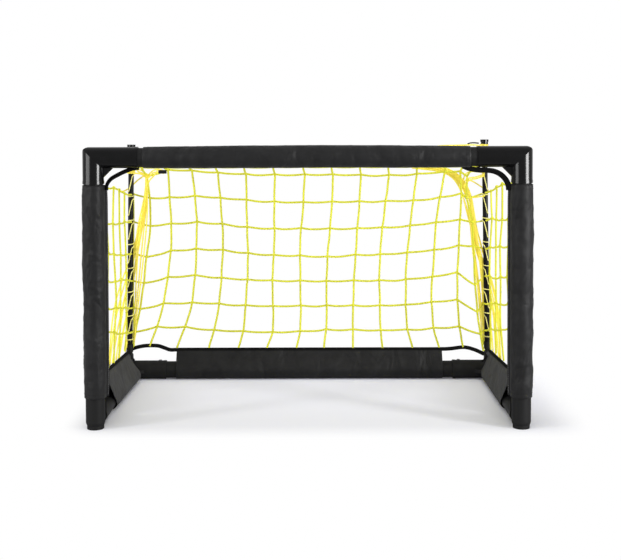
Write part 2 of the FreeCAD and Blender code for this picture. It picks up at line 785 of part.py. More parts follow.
def corner_tapes():
    """Short tapes that carry the net's edge past each top elbow, from sleeve to sleeve."""
    wide = val("corner_tape_width")
    thick = val("corner_tape_thickness")
    for side_name, side in SIDES.items():
        post_inner = side * (val("post_x") - val("sleeve_r") - val("seam_width"))
        sleeve_top = val("bar_z") - val("reach_down") - val("sleeve_end_gap")
        bar_under = val("bar_z") - val("collar_r") - val("soft_gap")
        bar_end = side * (val("crossbar_half") - val("sleeve_end_gap") + val("soft_gap"))
        inner = post_inner - side * thick
        low = [Vector(post_inner, 0, sleeve_top - 4 * thick), Vector(inner, 0, sleeve_top - 4 * thick)]
        bend = 0.42
        outer_mid = Vector(post_inner + (bar_end - post_inner) * (1 - bend) / 2, 0,
                           sleeve_top + (bar_under - sleeve_top) * (1 - bend))
        inner_mid = outer_mid + Vector(-side * thick * 0.7, 0, -thick * 0.7)
        start_out = Vector(post_inner, 0, sleeve_top)
        start_in = Vector(inner, 0, sleeve_top)
        end_out = Vector(bar_end, 0, bar_under)
        end_in = Vector(bar_end, 0, bar_under - thick)
        edges = [
            Part.makeLine(low[0], start_out),
            Part.Arc(start_out, outer_mid, end_out).toShape(),
            Part.makeLine(end_out, end_in),
            Part.Arc(end_in, inner_mid, start_in).toShape(),
            Part.makeLine(start_in, low[1]),
            Part.makeLine(low[1], low[0]),
        ]
        soft(f"{side_name}_corner_tape", plate_xz(edges, val("front_y") - wide / 2, wide))


# Net: flat panels through rows of knots, each panel one face with a hole for every mesh

# Each upright cord of the rear net from left to right: its distance from the goal's middle at the
# net's head, waist and foot. The net hangs slack, so its cords spread towards the bottom corners.
CORDS_ACROSS = {
    "head": [-353, -307, -255, -198, -137, -73, -8, 54, 115, 176, 237, 299, 333, 349],
    "waist": [-362, -309, -249, -191, -134, -79, -18, 39, 100, 156, 214, 273, 327, 367],
    "foot": [-384, -350, -290, -220, -155, -92, -27, 34, 98, 163, 230, 288, 341, 384],
}
# The same net's rows below its top edge, at the goal's middle, down to the last one above the foot
ROWS_BELOW_TOP = [0, 60, 119, 179, 235, 290, 346]
WAIST = 4 / 7


def between_three(first, middle, last, at_middle, t):
    """The parabola through three values at 0, at_middle and 1."""
    return (first * (t - at_middle) * (t - 1) / at_middle
            + middle * t * (t - 1) / (at_middle * (at_middle - 1))
            + last * t * (t - at_middle) / (1 - at_middle))


def knotted(knots, direction):
    """A flat panel of cord through rows of knots: what is left between its holes."""
    cord = val("cord_diameter")
    border = knots[0] + [row[-1] for row in knots[1:-1]]
    border += knots[-1][::-1] + [row[0] for row in knots[-2:0:-1]]
    middle = (knots[0][0] + knots[0][-1] + knots[-1][0] + knots[-1][-1]) * 0.25
    outline = grow(border, cord, middle)
    holes = []
    for upper, lower in zip(knots, knots[1:]):
        for n in range(len(upper) - 1):
            corners = mesh_hole([upper[n], upper[n + 1], lower[n + 1], lower[n]], cord)
            holes.append(Part.makePolygon(corners + corners[:1]))
    panel = Part.Face([Part.makePolygon(outline + outline[:1])] + holes)
    panel.validate()
    return panel.extrude(direction * cord)


def mesh_hole(corners, cord):
    """One mesh's hole: its corners drawn in by half a cord from the grid's lines."""
    drawn = []
    for n in range(4):
        to_next = (corners[(n + 1) % 4] - corners[n]).normalize()
        to_last = (corners[(n - 1) % 4] - corners[n]).normalize()
        widen = to_next.cross(to_last).Length
        drawn.append(corners[n] + (to_next + to_last) * (cord / 2 / widen))
    return drawn


def grow(points, cord, middle):
    """The outline moved out by half a cord, away from the panel's middle."""
    grown = []
    for p in points:
        away = Vector(*(math.copysign(1, d) if abs(d) > 1 else 0 for d in (p - middle)))
        grown.append(p + away * (cord / 2))
    return grown


def foot_height(x):
    """Where the rear net's foot sits on its binding, which bows up towards the corners."""
    flat = val("rear_sleeve_height") + val("binding_height") + 2 * val("soft_gap")
    bow_start = val("rear_sleeve_length") / 2 - val("net_bow_lead")
    climb = min(1, max(0, abs(x) - bow_start) / val("net_bow_climb"))
    return flat + val("cord_diameter") / 2 + climb * (val("binding_bow") + val("net_bow_gap"))


def rear_knots():
    """Rows of knots from the head down. The rows rise to both sides, but not their last knots."""
    rows = []
    last = len(CORDS_ACROSS["head"]) - 1
    for n in range(len(ROWS_BELOW_TOP) + 1):
        share = n / len(ROWS_BELOW_TOP)
        row = []
        for c, places in enumerate(zip(*CORDS_ACROSS.values())):
            x = between_three(*places, WAIST, share)
            if n == len(ROWS_BELOW_TOP):
                row.append(Vector(x, 0, foot_height(x)))
                continue
            slack = 4 * share * (1 - share)
            outward = abs(2 * c / last - 1) ** 1.5
            lift = outward * (val("net_row_lift") * slack + val("net_head_lift") * (1 - share))
            if c in (0, last):
                lift -= val("net_edge_drop")
            row.append(Vector(x, 0, val("rear_net_middle_height") - ROWS_BELOW_TOP[n] + lift))
        rows.append(row)
    return rows


def sloping_net(front, back, across_front, across_back, rows):
    """A panel between two places (y, z), with the cords' distances from the middle at each."""
    cord = val("cord_diameter")
    drop = math.atan2(front[1] - back[1], back[0] - front[0])
    length = (back[0] - front[0]) / math.cos(drop)
    knots = []
    for n in range(rows + 1):
        share = n / rows
        knots.append([Vector(a + (b - a) * share, share * length, 0)
                      for a, b in zip(across_front, across_back)])
    panel = knotted(knots, Vector(0, 0, 1)).translated(Vector(0, 0, -cord / 2))
    panel.Placement = Placement(Vector(0, front[0], front[1]),
                                Rotation(Vector(1, 0, 0), -math.degrees(drop)))
    return panel


def side_net_ends():
    """The middle lines of a side net's first and last upright cord."""
    cord_r = val("cord_diameter") / 2
    return val("side_net_front_y") + cord_r, val("side_rear_y") - cord_r


def roof_front():
    """The roof net's front cord, just clear of the crossbar sleeve's seam: its y and its height."""
    return val("seam_end_y") + val("soft_gap") + val("cord_diameter") / 2, val("bar_z")


def nets():
    cord = val("cord_diameter")
    gap = val("soft_gap")
    rear_y = val("rear_y")
    panel = knotted(rear_knots(), Vector(0, 1, 0))
    soft("rear_net", panel.translated(Vector(0, rear_y - cord / 2, 0)))

    # The roof runs flat from the crossbar to its last row, then dips to the rear net's head
    head = CORDS_ACROSS["head"]
    edge = val("post_x") - val("roof_side_gap")
    front_row = [edge * (2 * n / (len(head) - 1) - 1) for n in range(len(head))]
    rows = round(val("net_roof_rows"))
    share = (rows - 1) / rows
    fold_row = [a + (b - a) * share for a, b in zip(front_row, head)]
    front = roof_front()
    back_y = rear_y - cord / 2 - 2 * gap - cord / math.sqrt(2)
    back = (back_y, val("rear_net_middle_height") + val("roof_rear_lift"))
    fold = (front[0] + (back[0] - front[0]) * share, val("roof_fold_height"))
    flat = sloping_net(front, fold, front_row, fold_row, rows - 1)
    dip = sloping_net(fold, back, fold_row, head, 1)
    soft("roof_net", flat.fuse(dip))

    for side_name, side in SIDES.items():
        x = side * val("net_side_x")
        near, far = side_net_ends()
        step = val("binding_height") + 2 * gap + cord / 2
        columns, rows = round(val("net_side_columns")), len(ROWS_BELOW_TOP)
        knots = []
        for r in range(rows + 1):
            row = []
            for c in range(columns + 1):
                y = near + (far - near) * c / columns
                head_z = val("side_net_front_height")
                head_z += (val("side_net_rear_height") - head_z) * c / columns
                head_z -= val("side_net_sag") * math.sin(math.pi * c / columns)
                foot_z = edge_height(near) + (edge_height(far) - edge_height(near)) * c / columns
                row.append(Vector(x, y, head_z + (foot_z + step - head_z) * r / rows))
            knots.append(row)
        panel = knotted(knots, Vector(1, 0, 0))
        soft(f"{side_name}_net", panel.translated(Vector(-cord / 2, 0, 0)))


# Lacing: one cord wound up each upright, which ties the net to it

def biarc(start, start_way, end, end_way):
    """Two arcs that leave start along start_way and reach end along end_way."""
    span = end - start
    both = start_way + end_way
    square = 2 * (1 - start_way.dot(end_way))
    linear = 2 * span.dot(both)
    reach = (-linear + math.sqrt(linear ** 2 + 4 * square * span.dot(span))) / (2 * square)
    joint = (start + end + (start_way - end_way) * reach) * 0.5
    return [arc_from(start, start_way, joint), arc_from(end, end_way * -1, joint)]


def arc_from(start, way, end):
    chord = end - start
    along = Vector(chord).normalize()
    across = way - along * way.dot(along)
    half_turn = math.acos(max(-1, min(1, way.dot(along))))
    rise = Vector(across).normalize() * (chord.Length / 2 * math.tan(half_turn / 2))
    return Part.Arc(start, start + chord * 0.5 + rise, end).toShape()


def helix(radius, pitch, turns, base, steps_per_turn=4):
    """Edges of a climbing coil round Z."""
    edges = []
    rate = pitch / (2 * math.pi)
    last = None
    for step in range(round(turns * steps_per_turn) + 1):
        angle = 2 * math.pi * step / steps_per_turn
        point = Vector(radius * math.cos(angle), radius * math.sin(angle), base + rate * angle)
        way = Vector(-radius * math.sin(angle), radius * math.cos(angle), rate).normalize()
        if last:
            edges += biarc(last[0], last[1], point, way)
        last = (point, way)
    return edges


def piped(edges, radius):
    """A six-sided cord along joined edges."""
    path = Part.Wire(Part.__sortEdges__(edges))
    first = path.OrderedEdges[0]
    start = first.valueAt(first.FirstParameter)
    way = first.tangentAt(first.FirstParameter)
    ring = Part.Circle(start, way, radius)
    corners = [ring.value(math.pi / 3 * n) for n in range(6)]
    shell = Part.BRepOffsetAPI.MakePipeShell(path)
    shell.add(Part.makePolygon(corners + corners[:1]))
    shell.build()
    shell.makeSolid()
    return shell.shape()


def lacings():
    radius = val("lacing_r")
    low = val("lacing_start")
    turns = val("lacing_turns")
    cord_r = val("cord_diameter") / 2
    high = tie_height() - 2 * cord_r - val("lacing_end_gap")
    pitch = (high - low) / turns
    print("lacing: least gap between neighbouring turns", round(pitch - 2 * cord_r, 1), "mm")
    for side_name, side in SIDES.items():
        coil = piped(helix(radius, pitch, turns, low), cord_r)
        name = f"{side_name}_lacing"
        obj = doc.addObject("Part::Feature", name)
        obj.Shape = coil
        node(upright_place(obj, side), name)


# Gathered folds of spare net, the ties that hang them on the uprights, and the tie's clip

def rounded_path(points):
    """Straight runs with a tangent arc at each bend, as large as the two runs allow."""
    edges = []
    here = points[0]
    for last, bend, following in zip(points, points[1:], points[2:]):
        into = (last - bend)
        out = (following - bend)
        shorter = min(into.Length, out.Length)
        back = Vector(into).normalize()
        ahead = Vector(out).normalize()
        trim = 0.45 * shorter
        start = bend + back * trim
        end = bend + ahead * trim
        half_turn = (math.pi - back.getAngle(ahead)) / 2
        radius = trim / math.tan(half_turn)
        bisector = (back + ahead).normalize()
        middle = bend + bisector * (radius / math.cos(half_turn) - radius)
        edges.append(Part.makeLine(here, start))
        edges.append(Part.Arc(start, middle, end).toShape())
        here = end
    edges.append(Part.makeLine(here, points[-1]))
    return edges


def bundles():
    """Gathered folds of spare net that hang in the rear corners, inside the side panels."""
    r = val("bundle_diameter") / 2
    inside = val("net_side_x") - val("cord_diameter") / 2 - r - val("soft_gap")
    near, far = side_net_ends()
    column = (far - near) / val("net_side_columns")
    unit = val("gather_height") / 1000
    # Each bend, in thousandths of the gather's height: how far inboard of the
    # bundle's lower end, how far ahead of the rear net, and its height
    bends = {
        "left": [(68, 40, 876), (64, 60, 820), (48, 68, 680), (28, 84, 524), (8, 116, 360)],
        "right": [(262, 52, 872), (176, 48, 880), (104, 48, 848), (68, 54, 756), (48, 72, 632),
                  (28, 112, 480), (6, 176, 332)],
    }
    low_end = 208
    # The lower end lies against this many-th upright cord of the side net
    last_cord = {"left": 5, "right": 4}
    # The tie runs from this bend to the ring on the upright
    tied_bend = {"left": 0, "right": 2}
    for side_name, side in SIDES.items():
        path = [Vector(side * (inside - inboard * unit), val("rear_y") - ahead * unit,
                       height * unit) for inboard, ahead, height in bends[side_name]]
        path.append(Vector(side * inside, near + last_cord[side_name] * column, low_end * unit))
        bundle = piped(rounded_path(path), r)
        knot = path[tied_bend[side_name]]
        ties = [cord_between(knot, ring_face(side_name, knot))]
        if side_name == "left":
            ties.append(cord_between(knot, clip_end(knot)))
        soft(f"{side_name}_net_bundle", bundle.fuse(ties))
        if side_name == "left":
            net_clip(knot)


def cord_between(start, end):
    return Part.makeCylinder(val("cord_diameter") / 2, (end - start).Length, start, end - start)


def tie_height():
    """Height along the upright, from its pivot, of the ring that holds the net's corner."""
    climb = val("corner_ring_height") - val("upright_pivot_height")
    return climb / math.cos(math.radians(val("upright_lean")))


def ring_face(side_name, knot):
    """The point just clear of the ring on the upright, on the way from that knot."""
    lean = math.radians(val("upright_lean"))
    side, up = SIDES[side_name], tie_height()
    centre = Vector(side * (val("upright_x") - up * math.sin(lean)),
                    val("rear_y") + side * val("upright_stagger"),
                    val("upright_pivot_height") + up * math.cos(lean))
    way = Vector(knot.x - centre.x, knot.y - centre.y, 0).normalize()
    return centre + way * (val("lacing_r") + val("cord_diameter") + val("soft_gap"))


def clip_end(knot):
    """The outboard end of the clip, which hangs ahead of the gather and below the roof net."""
    return Vector(knot.x + val("clip_inboard"), knot.y - val("clip_forward"),
                  val("upright_tip_height") - val("clip_drop"))


def net_clip(knot):
    """A small round clip that holds the left corner's tie; it lies across, under the roof net."""
    at = clip_end(knot)
    clear = val("cord_diameter") / 2 + val("soft_gap")
    body = Part.makeCylinder(val("clip_diameter") / 2, val("clip_length"),
                             at + Vector(clear, 0, 0), Vector(1, 0, 0))
    soft("net_clip", body)


def corner_ties():
    """A ring of cord round each upright, level with the net's head, which holds the gather."""
    tie_r = val("cord_diameter") / 2
    for side_name, side in SIDES.items():
        centre = Vector(val("lacing_r"), 0, tie_height())
        ring = Part.Circle(centre, Vector(0, 1, 0), tie_r)
        corners = [ring.value(math.pi / 3 * n) for n in range(6)]
        tie = Part.Face(Part.makePolygon(corners + corners[:1]))
        name = f"{side_name}_corner_cord"
        cord = doc.addObject("Part::Feature", name)
        cord.Shape = tie.revolve(Vector(0, 0, 0), Vector(0, 0, 1), 360)
        node(upright_place(cord, side), name)


def check_and_export():
    doc.recompute()
    for obj in doc.Objects:
        if "Invalid" in obj.State or "Error" in obj.State:
            raise RuntimeError(f"{obj.Name} failed: {obj.State}")
    for obj in nodes:
        shape = obj.Shape
        if shape.isNull() or not shape.isValid() or not shape.Solids:
            raise RuntimeError(f"{obj.Label} has no valid solid")
    labels = [obj.Label for obj in nodes]
    if len(set(labels)) != len(labels):
        raise RuntimeError("two sub-parts share a name")
    os.makedirs("parts", exist_ok=True)
    for obj in nodes:
        obj.Shape.exportStep(f"parts/{obj.Label}.step")
    print(len(nodes), "sub-parts written")


front_frame()
base_frame()
uprights()
post_sleeves()
base_sleeves()
bindings()
corner_tapes()
nets()
lacings()
bundles()
corner_ties()
check_and_export()
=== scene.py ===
# %% [markdown]
# A folding street hockey goal. The frame file holds the goal's solids, in metres: X is the width,
# the mouth faces -Y and Z is up. This file dresses them: hard parts keep their solids and get
# finishes, while cloth, tapes and net are made again as soft pieces in the same places.

# %% Load the goal's solids
import random
from math import asin, copysign, cos, exp, floor, hypot, pi, radians, sin

import bpy
from mathutils import Matrix, Vector, noise


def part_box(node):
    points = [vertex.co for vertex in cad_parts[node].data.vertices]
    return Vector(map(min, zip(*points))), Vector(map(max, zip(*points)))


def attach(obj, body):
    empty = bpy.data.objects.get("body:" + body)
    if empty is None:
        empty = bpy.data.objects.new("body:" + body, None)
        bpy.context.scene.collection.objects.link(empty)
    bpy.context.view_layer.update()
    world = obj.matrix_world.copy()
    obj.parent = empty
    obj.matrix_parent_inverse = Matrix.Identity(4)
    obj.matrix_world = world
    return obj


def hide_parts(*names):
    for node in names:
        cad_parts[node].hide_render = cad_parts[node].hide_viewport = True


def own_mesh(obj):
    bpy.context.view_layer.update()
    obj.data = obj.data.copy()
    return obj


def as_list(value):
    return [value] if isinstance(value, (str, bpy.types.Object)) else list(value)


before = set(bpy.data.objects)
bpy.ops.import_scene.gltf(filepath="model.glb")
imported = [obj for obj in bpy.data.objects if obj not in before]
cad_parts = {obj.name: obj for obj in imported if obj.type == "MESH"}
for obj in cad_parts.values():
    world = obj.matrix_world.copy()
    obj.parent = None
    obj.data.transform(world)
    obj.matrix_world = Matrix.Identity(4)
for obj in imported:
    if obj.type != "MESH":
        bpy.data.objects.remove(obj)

SIDES = {"left": -1, "right": 1}
FULL = 2 * pi
Y_WAY, Z_WAY = Vector((0, 1, 0)), Vector((0, 0, 1))


def rounded(values):
    return [round(value, 3) for value in values]


def new_object(name, data):
    made = bpy.data.objects.new(name, data)
    bpy.context.collection.objects.link(made)
    return made


def box_of(node):
    """The lowest and the highest corner of a solid's box."""
    return [Vector(corner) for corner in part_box(node)]


def middle_of(node):
    low, high = box_of(node)
    return (low + high) / 2


bpy.context.scene.view_settings.view_transform = "Standard"
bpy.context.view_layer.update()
POST_X, FRONT_Y = middle_of("right_post_tube").xy
BAR_Z = middle_of("crossbar_tube").z
REAR_Y, BASE_Z = middle_of("rear_tube").yz

# %% [markdown]
# The camera stands a little above the crossbar, over two metres away, and looks slightly down. The
# lens is shifted, as on a product photograph, so that the posts stay almost parallel.

# %% Camera
PHOTO_WIDTH, PHOTO_HEIGHT = 621, 560
FOCAL_PX, SHIFT_PX = 1106, 150
SENSOR_MM = 36
CAMERA_AT = (0.0152, -2.2365, 0.6244)
CAMERA_TURN = (90 - 1.85, 0.19, 0.25)
camera_data = bpy.data.cameras.new("photo_camera")
camera_data.sensor_width = SENSOR_MM
camera_data.lens = SENSOR_MM * FOCAL_PX / PHOTO_WIDTH
camera_data.shift_y = -SHIFT_PX / PHOTO_WIDTH
camera_data.clip_end = 50
camera = new_object("photo_camera", camera_data)
camera.location = CAMERA_AT
camera.rotation_euler = [radians(turn) for turn in CAMERA_TURN]
bpy.context.scene.camera = camera
LOOK = camera.rotation_euler.to_matrix()


def seen_at(px, py, level, axis=1):
    """The point that the camera sees at a place in the picture, on the plane at that Y.

    With axis 0 the plane stands at one side of the goal instead, at that X."""
    ray = LOOK @ Vector((px - PHOTO_WIDTH / 2, PHOTO_HEIGHT / 2 - SHIFT_PX - py, -FOCAL_PX))
    return camera.location + ray * ((level - camera.location[axis]) / ray[axis])


REAR_BAR_SEEN_AT = (176, 350)
print("rear bar's left end seen at", rounded(seen_at(*REAR_BAR_SEEN_AT, REAR_Y)))

# %% [markdown]
# Small tools for building materials and node trees: a node is added with its inputs given by name,
# and an effect that several finishes share becomes one node group.

# %% Node helpers
def feed(inputs, values):
    """Gives each input its value, or links it to an output socket."""
    for key, value in values.items():
        if isinstance(value, bpy.types.NodeSocket):
            value.id_data.links.new(value, inputs[key])
        else:
            inputs[key].default_value = value


def add_node(tree, kind, values=None, **settings):
    """A new node with its settings, and its inputs fed by name or number."""
    node = tree.nodes.new(kind)
    for key, value in settings.items():
        setattr(node, key, value)
    feed(node.inputs, values or {})
    return node


def output(tree, kind, values=None, **settings):
    """The first output of a new node."""
    return add_node(tree, kind, values, **settings).outputs[0]


def maths(operation, *values):
    """A step of arithmetic, in the tree that one of its values belongs to."""
    tree = next(value.id_data for value in values if isinstance(value, bpy.types.NodeSocket))
    return output(tree, "ShaderNodeMath", dict(enumerate(values)), operation=operation)


def times(a, b):
    return maths("MULTIPLY", a, b)


def plus(a, b):
    return maths("ADD", a, b)


def object_place(tree):
    return add_node(tree, "ShaderNodeTexCoord").outputs["Object"]


def mapped(place, scale, turn=(0, 0, 0)):
    return output(place.id_data, "ShaderNodeMapping",
                  {"Vector": place, "Scale": scale, "Rotation": turn})


def noise_at(place, scale, detail, distortion=0.0):
    return output(place.id_data, "ShaderNodeTexNoise",
                  {"Vector": place, "Scale": scale, "Detail": detail, "Distortion": distortion})


def direct_rays(tree):
    """1 where the camera looks, also by way of a shine or through something clear."""
    rays = add_node(tree, "ShaderNodeLightPath").outputs
    direct = maths("MAXIMUM", rays["Is Camera Ray"], rays["Is Glossy Ray"])
    return maths("MAXIMUM", direct, rays["Is Transmission Ray"])


def start_group(kind, name, inputs, outputs):
    """An empty node group: the sockets that it is given, and those that it has to fill."""
    tree = bpy.data.node_groups.new(name, f"{kind}NodeTree")
    for way, sockets in (("INPUT", inputs), ("OUTPUT", outputs)):
        for label, socket in sockets.items():
            tree.interface.new_socket(label, in_out=way, socket_type=f"NodeSocket{socket}")
    return tree, tree.nodes.new("NodeGroupInput").outputs, tree.nodes.new("NodeGroupOutput").inputs


print("node helpers ready")

# %% [markdown]
# Light: one tall softbox on each side and a wide panel overhead light the goal, with a pale world
# that fills the rest. Two reflectors show only in shiny things, where they make the upright streaks
# on the glossy corners. The white ground is the floor's own, further on.

# %% Light
# Each lamp's place, the place that it faces, its size, its power and the rays that miss it.
LAMPS = {
    "right_softbox": ((2.0, -1.15, 0.75), (0.3, 0, 0.3), (0.30, 1.3), 30, "glossy"),
    "left_softbox": ((-2.1, -1.05, 0.75), (-0.3, 0, 0.3), (0.30, 1.3), 20, "glossy"),
    "overhead_panel": ((0, -0.5, 2.6), (0, 0, 0.2), (2.4, 1.8), 32, "glossy"),
    "right_reflector": ((1.68, -1.27, 0.75), (0, -0.18, 0.45), (0.9, 1.3), 230, "diffuse"),
    "left_reflector": ((-1.70, -1.24, 0.75), (0, -0.18, 0.45), (1.3, 1.3), 80, "diffuse"),
}
for name, (at, towards, size, power, missed_by) in LAMPS.items():
    data = bpy.data.lights.new(name, "AREA")
    data.shape = "RECTANGLE"
    data.size, data.size_y = size
    data.energy = power
    lamp = new_object(name, data)
    lamp.location = at
    lamp.rotation_euler = (Vector(towards) - Vector(at)).to_track_quat("-Z", "Y").to_euler()
    setattr(lamp, f"visible_{missed_by}", False)

WHITE = (1, 1, 1, 1)
SKY_LIGHT = 0.62
world = bpy.data.worlds.new("pale_studio")
bpy.context.scene.world = world
world.use_nodes = True
tree = world.node_tree
tree.nodes.clear()
sky_light, backdrop = (output(tree, "ShaderNodeBackground", {"Color": WHITE, "Strength": strength})
                       for strength in (SKY_LIGHT, 1))
mixed = output(tree, "ShaderNodeMixShader", {0: direct_rays(tree), 1: sky_light, 2: backdrop})
add_node(tree, "ShaderNodeOutputWorld", {0: mixed})
print("lamps:", len(bpy.data.lights))

# %% [markdown]
# Plain weave: threads go over and under each other, so the height is the product of two waves, one
# along each thread direction. A slow noise makes some threads fuller, as woven polyester has.

# %% Weave group
SLUB = 0.5
tree, given, result = start_group("Shader", "plain weave", {"Place": "Vector", "Threads": "Float"},
                                  {"Height": "Float", "Tone": "Float"})
split = add_node(tree, "ShaderNodeSeparateXYZ", {0: given["Place"]}).outputs
waves = []
for axis in ("X", "Y"):
    waves.append(maths("SINE", times(times(split[axis], given["Threads"]), pi)))
crossing = times(*waves)
uneven = times(maths("SUBTRACT", noise_at(given["Place"], 60.0, 3.0), 0.5), SLUB)
tone = plus(times(crossing, 0.12), plus(uneven, 0.5))
feed(result, {"Height": plus(times(crossing, 0.5), uneven), "Tone": tone})
weave_group = tree
print("group:", weave_group.name)

# %% [markdown]
# Moulded and drawn plastic: a fine grain all over, a slow change of polish, and a few faint rubs.
# The grain's stretch follows the way the plastic ran, so a drawn tube shows lines along it.

# %% Plastic skin group
RUB_STRETCH, RUB_TURN, RUB_LIMIT, RUBS = (90, 260, 60), (0.3, 0.5, 0.8), 0.68, 0.25
tree, given, result = start_group("Shader", "plastic skin", {"Place": "Vector", "Grain": "Float"},
                                  {"Height": "Float", "Tone": "Float", "Polish": "Float"})
place = given["Place"]
rubbed = noise_at(mapped(place, RUB_STRETCH, RUB_TURN), 1.0, 4.0)
marks = times(maths("GREATER_THAN", rubbed, RUB_LIMIT), RUBS)
feed(result, {"Height": noise_at(place, given["Grain"], 2.0),
              "Tone": maths("POWER", noise_at(place, 45.0, 5.0), 3.0),
              "Polish": plus(noise_at(place, 14.0, 3.0), marks)})
plastic_group = tree
print("group:", plastic_group.name)

# %% [markdown]
# Twisted cord: each cord piece carries two attributes, how far along it a point is and how far
# round, so three plies can spiral up it as a bump and a slight change of colour.

# %% Twist group
tree, given, result = start_group("Shader", "twisted cord", {"Plies": "Float", "Turns": "Float"},
                                  {"Height": "Float", "Tone": "Float"})
along, around = (add_node(tree, "ShaderNodeAttribute", attribute_name=label).outputs["Fac"]
                 for label in ("along", "around"))
turn = plus(times(around, given["Plies"]), times(along, given["Turns"]))
ply = maths("ABSOLUTE", maths("SINE", times(turn, pi)))
fuzz = noise_at(object_place(tree), 25.0, 3.0)
feed(result, {"Height": ply, "Tone": plus(times(ply, 0.5), times(fuzz, 0.5))})
cord_group = tree
print("group:", cord_group.name)

# %% [markdown]
# The finishes. Black goods differ by their gloss: corners shine, tubes and feet are satin, cloth
# only has a soft sheen. Each finish mixes two near colours by its group's pattern. The yellow cords
# glow faintly: the glow is painted light, for the yarn's fluorescence and for their shaded sides.

# %% Finishes
# Folds in cloth: how many there are to a metre in X, Y and Z, and how they slant.
FOLD_STRETCH, FOLD_TURN = (26.0, 26.0, 15.0), (0.25, 0.35, 0.15)


def blank_finish(name, specular=0.5, **fixed):
    material = bpy.data.materials.new(name)
    material.use_nodes = True
    shader = material.node_tree.nodes["Principled BSDF"]
    feed(shader.inputs, {"Specular IOR Level": specular, **fixed})
    return material, material.node_tree, shader.inputs


def patterned(tree, surface, group, values, dark, light, distance):
    """Runs a pattern's group: its tone mixes two colours and its height bumps the surface."""
    pattern = add_node(tree, "ShaderNodeGroup", node_tree=group)
    feed(pattern.inputs, values)
    mix = add_node(tree, "ShaderNodeMix", data_type="RGBA")
    feed(mix.inputs, {0: pattern.outputs["Tone"], 6: (*dark, 1), 7: (*light, 1)})
    bump = output(tree, "ShaderNodeBump", {"Height": pattern.outputs["Height"],
                                           "Distance": distance, "Strength": 1.0})
    feed(surface, {"Base Color": mix.outputs[2], "Normal": bump})
    return pattern.outputs


def plastic(name, dark, light, rough, grain, specular=0.5, stretch=(1, 1, 1), **fixed):
    material, tree, surface = blank_finish(name, specular, **fixed)
    skin = patterned(tree, surface, plastic_group,
                     {"Place": mapped(object_place(tree), stretch), "Grain": grain},
                     dark, light, 0.00003)
    polish = times(skin["Polish"], rough[1] - rough[0])
    feed(surface, {"Roughness": plus(polish, rough[0])})
    return material


def folds_and_painted_shade(tree, surface):
    """Slow hollows and folds under the weave: they tilt the surface, and as painted shade they
    darken the colour in the hollows and lighten it on the folds.
    """
    fold = noise_at(mapped(object_place(tree), FOLD_STRETCH, FOLD_TURN), 1.0, 2.5, 0.6)
    shade = output(tree, "ShaderNodeMapRange", {"Value": fold, "From Min": 0.3, "From Max": 0.7,
                                                "To Min": 0.84, "To Max": 1.12})
    tone, bump = (surface[label].links[0].from_socket for label in ("Base Color", "Normal"))
    under = output(tree, "ShaderNodeBump", {"Height": fold, "Distance": 0.010, "Strength": 0.8})
    feed(bump.node.inputs, {"Normal": under})
    # Painted shade and light: the fold noise scales the cloth's colour.
    feed(surface, {"Base Color": output(tree, "ShaderNodeVectorMath", {0: tone, "Scale": shade},
                                        operation="SCALE")})


def woven(name, dark, light, threads, specular, bump=0.00025, roughness=0.85, **fixed):
    material, tree, surface = blank_finish(name, specular, Roughness=roughness, **fixed)
    patterned(tree, surface, weave_group,
              {"Place": output(tree, "ShaderNodeUVMap", uv_map="cloth"), "Threads": threads},
              dark, light, bump)
    folds_and_painted_shade(tree, surface)
    return material


def twisted(name, dark, light, plies=3.0, turns=170.0, painted_glow=0.0):
    material, tree, surface = blank_finish(name, 0.03, Roughness=0.62)
    # The emission is painted light: it lifts the cords' shaded sides and cords lying in shadow.
    feed(surface, {"Emission Color": (*light, 1), "Emission Strength": painted_glow})
    patterned(tree, surface, cord_group, {"Plies": plies, "Turns": turns}, dark, light, 0.0004)
    return material


def grey(level):
    return (level, level, level)


# Lines run along a drawn tube, whichever way it lies.
LINES = {"x": (0.04, 1, 1), "y": (1, 0.04, 1), "z": (1, 1, 0.04)}
gloss_black = plastic("gloss_black_plastic", grey(0.002), (0.007, 0.007, 0.008), (0.14, 0.22),
                      700.0, 0.12)
satin_black = plastic("satin_black_plastic", grey(0.014), grey(0.030), (0.5, 0.65), 900.0, 0.03)
drawn_tube = {axis: plastic(f"drawn_tube_{axis}", grey(0.012), grey(0.026), (0.45, 0.6), 500.0,
                            0.04, stretch) for axis, stretch in LINES.items()}
rod_black = plastic("rod_black", grey(0.002), grey(0.008), (0.3, 0.45), 800.0, 0.05, LINES["z"])
screw_steel = plastic("blackened_steel", (0.03, 0.03, 0.032), (0.09, 0.09, 0.095), (0.3, 0.5),
                      1500.0, Metallic=0.8)
SHEEN = {"Sheen Weight": 0.03, "Sheen Roughness": 0.5}
sleeve_cloth = woven("sleeve_cloth", (0.0095, 0.0095, 0.0096), (0.024, 0.024, 0.0243), 1100.0,
                     0.035, bump=0.00012, roughness=0.45, **SHEEN)
side_cloth = woven("side_sleeve_cloth", grey(0.030), grey(0.070), 1100.0, 0.02, **SHEEN)
tape_cloth = woven("tape_cloth", grey(0.003), grey(0.010), 900.0, 0.02)
net_yellow = twisted("net_cord_yellow", (0.62, 0.61, 0.028), (0.79, 0.785, 0.068), painted_glow=0.07)
bundle_yellow = twisted("bundle_cord_yellow", (0.86, 0.68, 0.05), (0.98, 0.86, 0.15), painted_glow=0.18)
lacing_yellow = twisted("lacing_cord_yellow", (0.82, 0.74, 0.18), (0.97, 0.92, 0.38), painted_glow=0.08)
# Its paleness is a painted highlight along the frame sleeves' flange seams.
seam_highlight_thread = twisted("seam_highlight_thread", grey(0.16), grey(0.30), 2.0, 900.0)
hem_thread = twisted("hem_thread", grey(0.012), grey(0.035), 2.0, 900.0)
print("finishes:", len(bpy.data.materials))

# %% [markdown]
# The hard parts keep their solids. Each gets the finish of what it is: shining corners and caps,
# satin feet and hinges, tubes with drawing lines along their own length, and dark screws.

